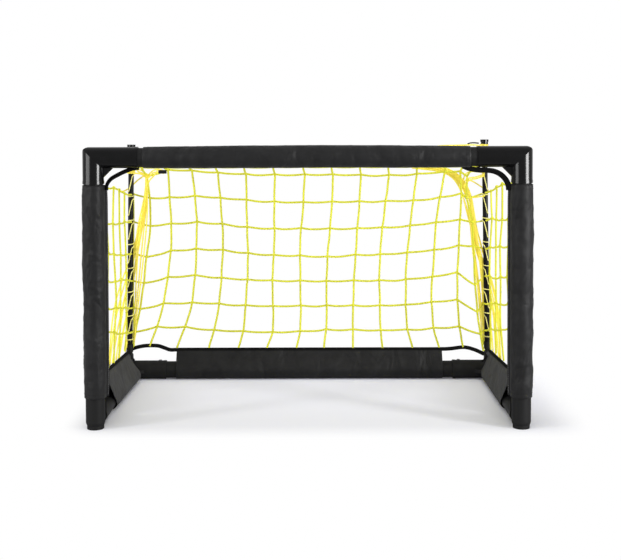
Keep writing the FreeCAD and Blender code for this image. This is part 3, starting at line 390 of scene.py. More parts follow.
# %% Finishes for the hard parts
# The first line that a node's name ends with gives its finish.
HARD_FINISHES = [
    (("top_elbow", "upright_cap"), gloss_black), (("side_tube", "hinge_bracket"), drawn_tube["y"]),
    (("post_tube",), drawn_tube["z"]), (("crossbar_tube", "rear_tube"), drawn_tube["x"]),
    (("upright_rod",), rod_black), (("pin", "screws"), screw_steel), (("",), satin_black)]
for node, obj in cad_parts.items():
    for place in obj.material_slots:
        place.material = next(finish for ends, finish in HARD_FINISHES if node.endswith(ends))
print("nodes with a finish:", sum(1 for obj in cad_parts.values() if obj.material_slots))

# %% [markdown]
# A sheet of cloth is made from rows of points: each row is the cut across the piece, and the rows
# follow each other along it. Its map counts metres of cloth, so the weave keeps its true size.

# %% Cloth sheets from rows of points
SLEEVE_WALL = 0.0008


def link_piece(name, mesh, material, body):
    piece = new_object(name, mesh)
    mesh.materials.clear()
    mesh.materials.append(material)
    mesh.shade_smooth()
    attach(piece, body)
    return piece


def cloth_mesh(name, rows, closed=False, capped=False):
    """A quad sheet through the rows, with a map in metres named cloth, and its girth and length."""
    count = len(rows[0])
    around = count if closed else count - 1
    points = [tuple(p) for row in rows for p in row]
    faces = [(r * count + c, r * count + (c + 1) % count,
              (r + 1) * count + (c + 1) % count, (r + 1) * count + c)
             for r in range(len(rows) - 1) for c in range(around)]
    if capped:
        faces += [tuple(reversed(range(count))), tuple(range(len(points) - count, len(points)))]
    mesh = bpy.data.meshes.new(name)
    mesh.from_pydata(points, [], faces)
    across, down = [0.0], [0.0]
    wide = rows[len(rows) // 2]
    for c in range(around):
        across.append(across[-1] + (Vector(wide[(c + 1) % count]) - Vector(wide[c])).length)
    for upper, lower in zip(rows, rows[1:]):
        down.append(down[-1] + (Vector(lower[0]) - Vector(upper[0])).length)
    places = [(across[c + dc], down[r + dr]) for r in range(len(rows) - 1) for c in range(around)
              for dr, dc in ((0, 0), (0, 1), (1, 1), (1, 0))]
    corners = mesh.uv_layers.new(name="cloth").data
    for n in range(len(corners)):
        corners[n].uv = places[n] if n < len(places) else (0.0, 0.0)
    return mesh, across[-1], down[-1]


def after_modifiers(piece):
    """The mesh that the piece's modifiers make of it."""
    shape = piece.evaluated_get(bpy.context.evaluated_depsgraph_get())
    return bpy.data.meshes.new_from_object(shape)


def cloth_piece(name, rows, material, body, rests_on, node, closed=False):
    mesh, width, length = cloth_mesh(name, rows, closed)
    piece = link_piece(name, mesh, material, body)
    wall = piece.modifiers.new("wall", "SOLIDIFY")
    wall.thickness, wall.offset = SLEEVE_WALL, 0
    piece.data = after_modifiers(piece)
    piece.modifiers.clear()
    piece.data.shade_smooth()
    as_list(rests_on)
    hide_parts(node)
    return piece


def creases(place, size, twist):
    """Soft folds: a slow swell plus narrow ridges that run aslant, from -1 to 1 or so."""
    turned = Vector((place.x + place.z * twist, place.y, place.z))
    swell = noise.noise(turned / size)
    ridge = 1 - abs(noise.noise(turned / (size * 0.55) + Vector((7.3, 1.1, 4.2)))) * 4
    return 0.75 * swell + 0.4 * max(0.0, ridge) ** 2


# %% [markdown]
# The post and crossbar sleeves are tubes of cloth sewn shut along a flange. The flange points into
# the goal, where the net is caught in it. The cloth is loose on the tube, so it swells and creases
# between its ends, and lies close at both hems.

# %% Tube sleeves
FLANGE, FLANGE_GAP = 0.0055, 0.0007
PROUD = SLEEVE_WALL / 2 + 0.0001
SEAM_INSET, HEM_WIDTH, HEM_HOLD = 0.0017, 0.007, 0.03
# Folds are a few centimetres across and die out near the flange, within this turn.
TUBE_FOLD, TUBE_FOLD_R, QUIET_TURN = 0.055, 0.03, 0.5
POST_LOOSE, POST_CLOTH_R, POST_SEAM_BACK = 0.0034, 0.0196, 0.35
BAR_LOOSE, BAR_CLOTH_R, BAR_SWELL = 0.0010, 0.0193, 0.0022
# The share of the looseness that stays where there is no fold, and at a hem.
NO_FOLD, AT_HEM = 0.35, 0.25
seam_lines = {name: [] for name in ("frame_seams", "frame_hems", "base_seams", "left_seams",
                                    "right_seams")}


def tube_profile(centre, out, side, radius_at, steps=44):
    """Flange face, once round the tube, other flange face; out is the flange's direction."""
    root = asin(FLANGE_GAP / radius_at(0.0))
    points = [centre + out * (radius_at(0.0) + FLANGE) + side * FLANGE_GAP]
    for n in range(steps + 1):
        turn = root + (FULL - 2 * root) * n / steps
        radius = radius_at(turn)
        points.append(centre + out * (cos(turn) * radius) + side * (sin(turn) * radius))
    points.append(centre + out * (radius_at(FULL) + FLANGE) - side * FLANGE_GAP)
    return points


def sew_tube(profiles, centres, out, side, hems):
    """Notes where the thread shows: along both faces of the flange, and round the hems."""
    for first, way in ((0, 1), (-1, -1)):
        seam_lines["frame_seams"].append([row[first] - out * SEAM_INSET + side * (way * PROUD)
                                          for row in profiles[2:-2]])
    for r in hems:
        seam_lines["frame_hems"].append([p + (p - centres[r]).normalized() * PROUD
                                         for p in profiles[r][1:-1]])


def tube_sleeve(name, start, end, out, loose, seed, base, nodes, swell=0.0, rows=150):
    """A cloth tube round a bar, with folds that die out at its hems.

    swell is how far the cloth stands off the bar's top in its middle. nodes are the tube that the
    cloth lies on and the sleeve that it replaces."""
    start, end, out = Vector(start), Vector(end), Vector(out).normalized()
    way = (end - start).normalized()
    side = way.cross(out)
    length = (end - start).length
    offset = Vector((seed * 3.7, seed * 1.9, 0))
    profiles, centres = [], []
    for r in range(rows + 1):
        share = r / rows
        hold = min(1.0, min(share, 1 - share) * length / HEM_HOLD)

        def radius_at(turn, share=share, hold=hold):
            spot = Vector((cos(turn) * TUBE_FOLD_R, sin(turn) * TUBE_FOLD_R, share * length))
            near_flange = 1 - exp(-((min(turn, FULL - turn)) / QUIET_TURN) ** 2)
            fold = creases(spot + offset, TUBE_FOLD, 0.5) * near_flange
            stand_off = swell * max(0.0, cos(turn - pi / 2)) * sin(pi * share)
            folded = NO_FOLD + (1 - NO_FOLD) * fold
            held = AT_HEM + (1 - AT_HEM) * hold
            return base + loose * folded * held + stand_off

        centres.append(start + way * (share * length))
        profiles.append(tube_profile(centres[-1], out, side, radius_at))
    hem_rows = max(2, round(HEM_WIDTH / length * rows))
    sew_tube(profiles, centres, out, side, (hem_rows, rows - hem_rows))
    cloth_piece(name, profiles, sleeve_cloth, "front_frame", nodes[:1], nodes[1])


sleeve_low, sleeve_high = (corner.z for corner in box_of("left_post_sleeve"))
for side_name, side in SIDES.items():
    tube_sleeve(f"{side_name}_post_cloth", (side * POST_X, FRONT_Y, sleeve_low),
                (side * POST_X, FRONT_Y, sleeve_high), (-side, POST_SEAM_BACK, 0), POST_LOOSE,
                3 + side, POST_CLOTH_R, [f"{side_name}_post_tube", f"{side_name}_post_sleeve"])
# Where the picture shows the ends of the crossbar's cloth; bare tube shows at both.
BAR_ENDS_SEEN_AT, BAR_SEEN_AT = (142, 471.4), 156
BAR_FACE_Y = FRONT_Y - 0.019
bar_ends = [(seen_at(px, BAR_SEEN_AT, BAR_FACE_Y).x, FRONT_Y, BAR_Z) for px in BAR_ENDS_SEEN_AT]
tube_sleeve("crossbar_cloth", *bar_ends, Y_WAY, BAR_LOOSE, 11, BAR_CLOTH_R,
            ["crossbar_tube", "crossbar_sleeve"], BAR_SWELL, rows=220)
print("seams and hems so far:", len(seam_lines["frame_seams"]), len(seam_lines["frame_hems"]))

# %% [markdown]
# The base sleeves are one broad cloth that goes down from the bound edge, under the tube and up
# again. The side ones start further back at the floor than at their top, which leaves the dark
# slanting opening behind each post.

# %% Base sleeves
FLOOR_GAP = 0.0012
CROWN, FLANK, ROUND = 6, 8, 30


def wrap_profile(low_r, rise, top_r, place):
    """Once round a bag-shaped cut: over the bound edge, down, round the tube and up again."""
    points = []
    slope = asin((low_r - top_r) / rise)
    for n in range(CROWN):
        turn = pi / 2 - (pi / 2 - slope) * n / CROWN
        points.append((top_r * cos(turn), rise + top_r * sin(turn)))
    for n in range(FLANK):
        share = n / FLANK
        radius = top_r + (low_r - top_r) * share
        points.append((radius * cos(slope), rise * (1 - share) + radius * sin(slope)))
    for n in range(ROUND + 1):
        turn = slope - (pi + 2 * slope) * n / ROUND
        points.append((low_r * cos(turn), low_r * sin(turn)))
    for across, up in reversed(points[1:CROWN + FLANK]):
        points.append((-across, up))
    return [place(across, up) for across, up in points]


NET_SIDE_X = (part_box("right_side_binding")[0][0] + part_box("right_side_binding")[1][0]) / 2
SIDE_ROWS, SIDE_LOW_R = 90, 0.0212
REAR_TOP_Z, FRONT_TOP_R, REAR_TOP_R = 0.062, 0.010, 0.0025
# The front end starts this far back at the floor, and less further up.
SET_BACK, SET_BACK_SLOPE = 0.098, 1.1
# How far the loose cloth lies out over the floor at its rear end, on the goal's inner side.
INNER_SPREAD = {"left": 0.016, "right": 0.006}
SPREAD_HEIGHT, LOWEST_Z = 0.05, 0.004
# Folds: their size, their depth, where the slack begins and the height over which it grows.
SIDE_FOLD, SIDE_DEPTH, SIDE_SLACK_Z, SIDE_SLACK_RISE = 0.05, 0.0024, 0.036, 0.02
REAR_FOLD, REAR_DEPTH, REAR_SLACK_Z, REAR_SLACK_RISE = 0.07, 0.0016, 0.032, 0.012
# The folds die out this near the cut's middle, and below the rear bound edge.
MIDDLE_QUIET, EDGE_QUIET = 0.004, 0.01


def side_sleeve(side_name, side):
    low, high = box_of(f"{side_name}_side_sleeve")
    rows = []
    for r in range(SIDE_ROWS + 1):
        share = r / SIDE_ROWS
        edge_z = high.z + (REAR_TOP_Z - high.z) * share
        top_r = FRONT_TOP_R + (REAR_TOP_R - FRONT_TOP_R) * share
        rise = edge_z - top_r - BASE_Z

        def place(across, up, share=share, rise=rise):
            z = max(BASE_Z + up, FLOOR_GAP)
            y = low.y + (high.y - low.y) * share
            y += max(0.0, SET_BACK - max(0.0, z - LOWEST_Z) * SET_BACK_SLOPE) * (1 - share) ** 3
            x = POST_X - (POST_X - NET_SIDE_X) * max(0.0, up) / rise + across
            spot = Vector((x, y, z)) + Vector((side * 5.0, 0, 0))
            strain = sin(pi * min(1.0, share * 1.2)) * 0.5 + 0.5
            fold = creases(spot, SIDE_FOLD, 0.8) * SIDE_DEPTH * strain
            slack = min(1.0, max(0.0, (z - SIDE_SLACK_Z) / SIDE_SLACK_RISE))
            slack *= min(1.0, abs(across) / MIDDLE_QUIET)
            if across < 0:
                low_down = max(0.0, 1 - (z - LOWEST_Z) / SPREAD_HEIGHT)
                x -= INNER_SPREAD[side_name] * share ** 1.5 * low_down * -across / SIDE_LOW_R
            return Vector((side * (x + copysign(1, across) * fold * slack), y, z))

        rows.append(wrap_profile(SIDE_LOW_R, rise, top_r, place))
    return cloth_piece(f"{side_name}_side_cloth", rows, side_cloth, "base",
                       [f"{side_name}_side_tube", f"{side_name}_side_binding"],
                       f"{side_name}_side_sleeve", closed=True)


side_cloths = [side_sleeve(side_name, side) for side_name, side in SIDES.items()]

REAR_ROWS, REAR_LOW_R, REAR_EDGE_R = 200, 0.0196, 0.0012
# The thread runs this many points down each flank, this far out. It also goes round both ends,
# lifted away from a middle at this height.
UNDER_TAPE, THREAD_LIFT = 9, 0.0006
END_MIDDLE_Z, END_LIFT = 0.035, 0.0005


def rear_sleeve():
    low, high = box_of("rear_sleeve")
    rows = []
    for r in range(REAR_ROWS + 1):
        x = low.x + (high.x - low.x) * (r / REAR_ROWS)

        def place(across, up, x=x):
            z = max(BASE_Z + up, FLOOR_GAP)
            slack = min(1.0, max(0.0, (z - REAR_SLACK_Z) / REAR_SLACK_RISE))
            slack *= min(1.0, (high.z - z) / EDGE_QUIET + 0.15)
            fold = creases(Vector((x, across * 2, z)), REAR_FOLD, 0.6) * REAR_DEPTH * slack
            return Vector((x, REAR_Y + across + copysign(1, across) * fold, z))

        rows.append(wrap_profile(REAR_LOW_R, high.z - REAR_EDGE_R - BASE_Z, REAR_EDGE_R, place))
    for spot, way in ((-UNDER_TAPE, -1), (UNDER_TAPE, 1)):
        seam_lines["base_seams"].append([row[spot] + Vector((0, way * THREAD_LIFT, 0))
                                         for row in rows[1:-1]])
    for ring in (rows[2], rows[-3]):
        seam_lines["base_seams"].append(
            [p + (p - Vector((p.x, REAR_Y, END_MIDDLE_Z))).normalized() * END_LIFT for p in ring])
    cloth_piece("rear_cloth", rows, sleeve_cloth, "base", ["rear_tube", "rear_binding"],
                "rear_sleeve", closed=True)


rear_sleeve()

# %% [markdown]
# Binding tape is a flat woven strap, folded over the net's edge and sewn. It is made as a strap
# that follows a smooth line: the line gives the way, a second direction gives the tape's broad
# face, and the edges are rounded.

# %% Straps
STRAP_SIDES = 16
# Powers below 1 make the strap's cut squarer, across its face and through its thickness.
FACE_POWER, EDGE_POWER = 0.45, 0.8
TAPE, TAIL_TAPE, CORNER_TAPE = (0.0085, 0.003), (0.008, 0.003), (0.012, 0.0034)
THREAD_OUT, THREAD_DOWN = 0.0016, -0.0022
# The tails hang this far before the rear bar, the corner straps run this far behind the posts.
TAIL_AHEAD, CORNER_BEHIND = 0.006, 0.003
# A side tape's middle is this far before and above the straight line; its ends lie this far in.
MIDDLE_AHEAD, MIDDLE_UP, END_IN = 0.02, 0.001, 0.004


def smooth_line(points, steps=8):
    """A Catmull-Rom line through the points."""
    points = [Vector(p) for p in points]
    padded = [points[0] * 2 - points[1]] + points + [points[-1] * 2 - points[-2]]
    line = []
    for a, b, c, d in zip(padded, padded[1:], padded[2:], padded[3:]):
        for n in range(steps):
            t = n / steps
            line.append(0.5 * (2 * b + (c - a) * t + (2 * a - 5 * b + 4 * c - d) * t * t
                               + (3 * b - a - 3 * c + d) * t ** 3))
    line.append(points[-1])
    return line


def way_at(line, n):
    """The direction of a line at its point n."""
    return (line[min(n + 1, len(line) - 1)] - line[max(n - 1, 0)]).normalized()


def strap_mesh(line, broad, size, tilt=0.0):
    """A strap with rounded edges; broad is the direction across its face."""
    rows = []
    for n, p in enumerate(line):
        ahead = way_at(line, n)
        across = broad - ahead * broad.dot(ahead)
        across = Matrix.Rotation(tilt, 3, ahead) @ across.normalized()
        up = ahead.cross(across)
        row = []
        for k in range(STRAP_SIDES):
            cx, cy = cos(FULL * k / STRAP_SIDES), sin(FULL * k / STRAP_SIDES)
            sx = copysign(abs(cx) ** FACE_POWER, cx) * size[0] / 2
            sy = copysign(abs(cy) ** EDGE_POWER, cy) * size[1] / 2
            row.append(p + across * sx + up * sy)
        rows.append(row)
    return cloth_mesh("strap", rows, closed=True, capped=True)[0]


def joined(name, meshes):
    """One mesh from several, each already in its place."""
    parts = [new_object("part", mesh) for mesh in meshes]
    with bpy.context.temp_override(active_object=parts[0], object=parts[0],
                                   selected_objects=parts, selected_editable_objects=parts):
        bpy.ops.object.join()
    mesh = parts[0].data
    bpy.data.objects.remove(parts[0])
    mesh.name = name
    return mesh


def sew_tape(where, line, across):
    """Notes the two rows of thread along a tape's faces."""
    seam_lines[where] += [[p + Vector((way * across[0], way * across[1], THREAD_DOWN))
                           for p in line] for way in (-1, 1)]


def tape_piece(name, meshes, body, node):
    piece = link_piece(name, joined(name, meshes), tape_cloth, body)
    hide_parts(node)
    return piece


# The rear tape's route: both ends as the picture shows them, and straight between them.
LEFT_BOW = [(129, 350.5), (133, 348.6), (139, 346.8), (147, 345.6), (158, 345.8), (165, 348.0),
            (171, 349.8)]
RIGHT_BOW = [(450, 348.6), (464, 347.2), (475, 349.8), (484, 354.0)]
TAILS = ([(130.5, 352.5), (131.5, 356.5), (134.5, 360.5)],
         [(486.5, 354.5), (485.5, 358.0), (482.0, 361.5)])
TAPE_Z = 0.0630
rear_line = smooth_line([seen_at(px, py, REAR_Y) for px, py in LEFT_BOW]
                        + [(x, REAR_Y, TAPE_Z) for x in (-0.28, -0.15, 0, 0.15, 0.28)]
                        + [seen_at(px, py, REAR_Y) for px, py in RIGHT_BOW], steps=12)
sew_tape("base_seams", rear_line, (0, THREAD_OUT))
tails = [smooth_line([seen_at(px, py, REAR_Y - TAIL_AHEAD) for px, py in route], steps=12)
         for route in TAILS]
tape_piece("rear_tape", [strap_mesh(rear_line, Z_WAY, TAPE)]
           + [strap_mesh(line, Y_WAY, TAIL_TAPE) for line in tails], "base", "rear_binding")

side_tapes = []
for side_name, side in SIDES.items():
    low, high = box_of(f"{side_name}_side_binding")
    x = side * NET_SIDE_X
    half_way = Vector((x, (low.y + high.y) / 2 - MIDDLE_AHEAD, (low.z + high.z) / 2 + MIDDLE_UP))
    ends = (x, low.y, high.z - END_IN), (x, high.y, low.z + END_IN)
    line = smooth_line([ends[0], half_way, ends[1]], steps=30)
    side_tapes.append(tape_piece(f"{side_name}_side_tape", [strap_mesh(line, Z_WAY, TAPE)],
                                 "base", f"{side_name}_side_binding"))
    sew_tape(f"{side_name}_seams", line, (THREAD_OUT, 0))

CORNER_ROUTES = {
    "left": [(106.6, 190), (107, 184.5), (111, 179.0), (118, 174.8), (126, 171.0), (133, 168.6),
             (139, 167.8)],
    "right": [(509.0, 190), (508.4, 185.5), (506.6, 181.0), (503.4, 176.8), (499.4, 173.6),
              (494.5, 171.4), (489, 170.4), (479, 170.0), (470, 168.6), (463, 166.0)],
}
CORNER_TILT = {"left": 0.60, "right": 0.90}
for side_name, route in CORNER_ROUTES.items():
    line = smooth_line([seen_at(px, py, FRONT_Y + CORNER_BEHIND) for px, py in route], steps=12)
    tape_piece(f"{side_name}_corner_strap",
               [strap_mesh(line, Y_WAY, CORNER_TAPE, CORNER_TILT[side_name])],
               "front_frame", f"{side_name}_corner_tape")
print("rear tape:", len(rear_line), "points along it")

# %% [markdown]
# The net is knotted cord. Its knots are placed first, row by row; each cord between two knots gets
# a little slack. A node tree then turns every line into a round cord and puts a knot where cords
# meet, so one tree makes all the panels. It also notes on the cord how far along and round a point
# is, for the twist.

# %% Cord tree
CORD_R, KNOT_SIZE = 0.0023, 0.0036
SLACK_STEPS = 7


def finish_tree(tree, given, result, geometry):
    """Makes instances real, gives them their finish and ends the tree."""
    real = output(tree, "GeometryNodeRealizeInstances", {"Geometry": geometry})
    done = output(tree, "GeometryNodeSetMaterial", {"Geometry": real, "Material": given["Finish"]})
    feed(result, {"Made": done})
    return tree


def cord_tree():
    tree, given, result = start_group(
        "Geometry", "cords and knots",
        {"Lines": "Geometry", "Cord radius": "Float", "Knot size": "Float", "Seed": "Int",
         "Finish": "Material"}, {"Made": "Geometry"})

    def store(geometry, label, value):
        return output(tree, "GeometryNodeStoreNamedAttribute",
                      {"Geometry": geometry, "Name": label, "Value": value},
                      data_type="FLOAT", domain="POINT")

    curves = output(tree, "GeometryNodeMeshToCurve", {"Mesh": given["Lines"]})
    spline = add_node(tree, "GeometryNodeSplineParameter").outputs
    curves = store(curves, "along", spline["Length"])
    ring = output(tree, "GeometryNodeCurvePrimitiveCircle",
                  {"Resolution": 7, "Radius": given["Cord radius"]})
    ring = store(ring, "around", spline["Factor"])
    cords = output(tree, "GeometryNodeCurveToMesh",
                   {"Curve": curves, "Profile Curve": ring, "Fill Caps": True})
    knot_flag = add_node(tree, "GeometryNodeInputNamedAttribute", {"Name": "knot"},
                         data_type="FLOAT").outputs["Attribute"]
    is_knot = output(tree, "FunctionNodeCompare", {0: knot_flag, 1: 0.5}, data_type="FLOAT",
                     operation="GREATER_THAN")
    ball = output(tree, "GeometryNodeMeshIcoSphere",
                  {"Radius": given["Knot size"], "Subdivisions": 2})
    ball = output(tree, "GeometryNodeTransform", {"Geometry": ball, "Scale": (1, 0.75, 0.8)})
    turned = output(tree, "FunctionNodeRandomValue",
                    {0: (-3.0, -0.5, -3.0), 1: (3.0, 0.5, 3.0), "Seed": given["Seed"]},
                    data_type="FLOAT_VECTOR")
    knots = output(tree, "GeometryNodeInstanceOnPoints",
                   {"Points": given["Lines"], "Selection": is_knot, "Instance": ball,
                    "Rotation": turned})
    both = add_node(tree, "GeometryNodeJoinGeometry")
    for geometry in (cords, knots):
        feed(both.inputs, {0: geometry})
    return finish_tree(tree, given, result, both.outputs[0])


cords_tree = cord_tree()


def run_tree(tree, mesh, values):
    """The mesh that the tree makes from the lines, with its inputs set by name."""
    source = new_object("lines", mesh)
    modifier = source.modifiers.new("tree", "NODES")
    modifier.node_group = tree
    for item in tree.interface.items_tree:
        if item.in_out == "INPUT" and item.name in values:
            modifier[item.identifier] = values[item.name]
    made = after_modifiers(source)
    bpy.data.objects.remove(source)
    return made


def lines_mesh(strands, knots=()):
    """Strands are lists of points; a point that is a knot is shared by the strands through it."""
    points, index, edges = [], {}, []
    for strand in strands:
        last = None
        for p in strand:
            key = tuple(round(c, 5) for c in p)
            if key not in index:
                index[key] = len(points)
                points.append(tuple(p))
            here = index[key]
            if last is not None and here != last:
                edges.append((last, here))
            last = here
    mesh = bpy.data.meshes.new("lines")
    mesh.from_pydata(points, edges, [])
    knot_keys = {tuple(round(c, 5) for c in k) for k in knots}
    flag = mesh.attributes.new("knot", "FLOAT", "POINT")
    flag.data.foreach_set("value", [1.0 if key in knot_keys else 0.0 for key in index])
    return mesh


def slack_cord(a, b, rng, sag, wobble, out=Y_WAY):
    """Points from knot a to knot b: the cord sags and strays a little, and is curly like net."""
    a, b = Vector(a), Vector(b)
    length = (b - a).length
    level = hypot(b.x - a.x, b.y - a.y) / max(length, 1e-6)
    side = (b - a).cross(out).normalized() if length else Vector((1, 0, 0))
    bow = rng.uniform(-1, 1) * wobble * length
    kink = rng.uniform(-1, 1) * wobble * 0.5 * length
    depth = rng.uniform(-1, 1) * wobble * 0.7 * length
    points = []
    for n in range(SLACK_STEPS + 1):
        t = n / SLACK_STEPS
        arch = 4 * t * (1 - t)
        p = a.lerp(b, t) + side * (bow * arch + kink * sin(FULL * t))
        p += out * (depth * arch)
        p.z -= sag * length * level * arch
        points.append(p)
    points[0], points[-1] = a, b
    return points


def lattice(rows, rng, out=Y_WAY, sag=0.03, wobble=0.012):
    """Strands between neighbouring knots; the last row is sewn on and has no cord of its own."""
    return [slack_cord(a, b, rng, sag, wobble, out)
            for line in rows[:-1] + list(zip(*rows)) for a, b in zip(line, line[1:])]


def cord_piece(name, strands, knots, body, seed, node=None, radius=CORD_R, knot_size=KNOT_SIZE,
               material=net_yellow):
    made = run_tree(cords_tree, lines_mesh(strands, knots),
                    {"Cord radius": radius, "Knot size": knot_size, "Seed": seed,
                     "Finish": material})
    made.name = name
    piece = link_piece(name, made, material, body)
    if node:
        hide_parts(node)
    metres = sum((b - a).length for strand in strands for a, b in zip(strand, strand[1:]))
    print(name, round(metres, 2), "m of cord,", len(made.polygons), "faces")
    return piece


# %% [markdown]
# The rear panel's knots follow the photograph: the net hangs slack, its columns spread towards the
# bottom corners, and its top edge dips between the uprights. Each row below lists the columns from
# left to right as places in the picture, and the panel stands over the rear bar.

# %% Rear net
TOP_EDGE = [(168, 169.6), (192, 170.4), (218, 172.4), (246, 173.8), (275, 174.2), (305, 174.2),
            (333, 174.2), (361, 174.6), (389, 174.8), (417, 173.6), (445, 171.6), (460, 171.2)]
COLUMN_XS = [
    [169.5, 195.0, 220.5, 246.5, 274.5, 303.5, 332.0, 359.5, 385.5, 413.5, 440.0, 461.5],
    [171.2, 197.3, 222.3, 247.2, 274.5, 301.0, 330.0, 357.2, 382.2, 410.0, 436.0, 460.0],
    [171.0, 196.2, 223.0, 248.2, 274.0, 300.0, 327.4, 355.4, 380.2, 407.2, 434.2, 458.8],
    [168.0, 195.2, 221.6, 247.6, 272.4, 300.2, 326.4, 353.8, 379.2, 405.8, 432.4, 457.2],
    [163.6, 192.2, 219.2, 245.6, 273.0, 301.0, 326.8, 353.0, 379.8, 405.4, 431.4, 457.2],
    [157.2, 185.2, 214.2, 243.4, 272.8, 300.4, 326.2, 353.0, 380.8, 407.2, 433.4, 459.2],
]
ROW_YS = [
    [197.0, 195.6, 197.6, 199.6, 201.2, 202.0, 201.4, 201.0, 200.8, 200.2, 197.0, 193.0],
    [223.4, 221.6, 223.6, 226.8, 228.2, 228.0, 228.2, 228.0, 227.2, 225.4, 222.2, 219.4],
    [250.4, 248.4, 249.6, 252.8, 254.8, 255.2, 256.4, 254.4, 254.0, 252.4, 249.6, 245.2],
    [276.8, 275.0, 277.6, 279.4, 280.2, 280.4, 280.8, 280.2, 280.0, 279.2, 276.6, 272.2],
    [303.2, 302.4, 303.4, 305.0, 306.0, 305.4, 305.2, 305.0, 305.2, 304.6, 301.8, 299.4],
    [326.4, 326.6, 329.8, 331.0, 332.0, 331.0, 329.2, 329.2, 330.0, 329.4, 327.6, 326.2],
]
FOOT_XS = [150.0, 177.0, 209.0, 238.5, 267.0, 296.5, 324.0, 353.0, 382.5, 412.5, 439.0, 463.0]
FOOT_YS = [346.0, 347.6, 347.6, 347.6, 347.6, 347.6, 347.6, 347.6, 347.6, 347.6, 347.2, 347.0]
# The edge columns run beside the uprights: from the gathered corner down to the bowed tape.
LEFT_EDGE = [(147, 176), (149.8, 198), (150.4, 226), (146.6, 257), (144.2, 283), (140.2, 309),
             (135.6, 332), (133.0, 347.5)]
RIGHT_EDGE = [(467, 176), (466.5, 198), (472.5, 222), (473.5, 246), (475.2, 285), (477.4, 312),
              (480.4, 334), (483.4, 351)]
BELLY_MIDDLE, BELLY_HALF = 308, 175
BELLY_TOP, BELLY_HEIGHT = 168, 182
BELLY_DEPTH = 0.006


def net_knot(px, py):
    """A knot of the slack net, which hangs a little behind the rear bar's line in its middle."""
    across = max(0.0, 1 - ((px - BELLY_MIDDLE) / BELLY_HALF) ** 2)
    down = max(0.0, sin(pi * (py - BELLY_TOP) / BELLY_HEIGHT))
    return seen_at(px, py, REAR_Y + BELLY_DEPTH * across * down)


rng = random.Random(14)
inner_rows = [TOP_EDGE] + [list(zip(xs, ys)) for xs, ys in
                           zip(COLUMN_XS + [FOOT_XS], ROW_YS + [FOOT_YS])]
knot_rows = [[net_knot(px, py) for px, py in [left, *inner, right]]
             for left, inner, right in zip(LEFT_EDGE, inner_rows, RIGHT_EDGE)]
rear_net = cord_piece("rear_net_cords", lattice(knot_rows, rng, sag=0.035, wobble=0.014),
                      [k for row in knot_rows[:-1] for k in row], "base", 5, "rear_net")

# %% [markdown]
# The roof and the side panels carry on the same meshes to the front frame, where they are sewn
# into the sleeves' flanges. They sag a little under their own weight. The roof runs back to a fold
# before the uprights and drops from there to the rear panel's top edge.

# %% Roof and side nets
ROOF_ROWS, FOLD_ROW = 6, 5
FOLD_SEEN_AT = 166.8
ROOF_EDGE_X = POST_X - 0.026
ROOF_SAG = 0.003
roof_front_y = box_of("roof_net")[0].y + CORD_R
roof_rows = []
for r in range(ROOF_ROWS + 1):
    share = min(1.0, r / FOLD_ROW)
    row = []
    for c, back in enumerate(knot_rows[0]):
        front_x = ROOF_EDGE_X * (2 * c / (len(knot_rows[0]) - 1) - 1)
        fold_x = front_x + (back.x - front_x) * FOLD_ROW / ROOF_ROWS
        fold_y = roof_front_y + (back.y - roof_front_y) * FOLD_ROW / ROOF_ROWS
        fold = Vector((fold_x, fold_y, seen_at(PHOTO_WIDTH / 2, FOLD_SEEN_AT, fold_y).z))
        sag = ROOF_SAG * sin(pi * share) * (1 + 0.5 * rng.uniform(-1, 1))
        p = Vector((front_x, roof_front_y, BAR_Z)).lerp(fold, share)
        row.append(back.copy() if r == ROOF_ROWS else p - Vector((0, 0, sag)))
    roof_rows.append(row)
roof_net = cord_piece("roof_net_cords", lattice(roof_rows, rng, Z_WAY, sag=0.02),
                      [k for row in roof_rows[1:-1] for k in row], "base", 6, "roof_net")

SIDE_COLUMNS, SIDE_CORD_R = 5, 0.0020
# Where the picture shows each side's rows. The head row dips towards its rear end.
SIDE_ROWS_SEEN_AT = {"left": [187, 222, 253, 279.5, 306, 331],
                     "right": [184, 219.5, 248, 277, 304, 330]}
HEAD_END_SEEN_AT, SIDE_GAPS = 193.5, 6
# How far a side net's knots stray in X, Y and Z, and how far its middle bows inwards.
STRAY, SIDE_BOW = (0.002, 0.009, 0.003), 0.004
# The last column: how far in from the tape, up from its lower end and behind the rod it stands.
ROD_INSET, TAPE_RISE, BEYOND_ROD = 0.006, 0.008, 0.012


def side_knot(side_name, r, c, seen_row, near, far):
    """One knot of a side net. The last row is on the side tape, the last column at the upright."""
    side, back = SIDES[side_name], c / SIDE_COLUMNS
    y = near + (far - near) * back
    if seen_row is None:
        tape_low, tape_high = box_of(f"{side_name}_side_binding")
        z = tape_high.z * (1 - back) + (tape_low.z + TAPE_RISE) * back
    else:
        z = seen_at(PHOTO_WIDTH / 2, seen_row, y).z
    x = side * (NET_SIDE_X - SIDE_BOW * sin(pi * r / SIDE_GAPS) * sin(pi * back))
    stray = Vector([rng.uniform(-1, 1) * reach for reach in STRAY])
    if c == SIDE_COLUMNS:
        x = side * (NET_SIDE_X - ROD_INSET)
    if c in (0, SIDE_COLUMNS):
        stray.y = 0
    if r == 0:
        stray.z = 0
    return Vector((x, y, z)) + stray


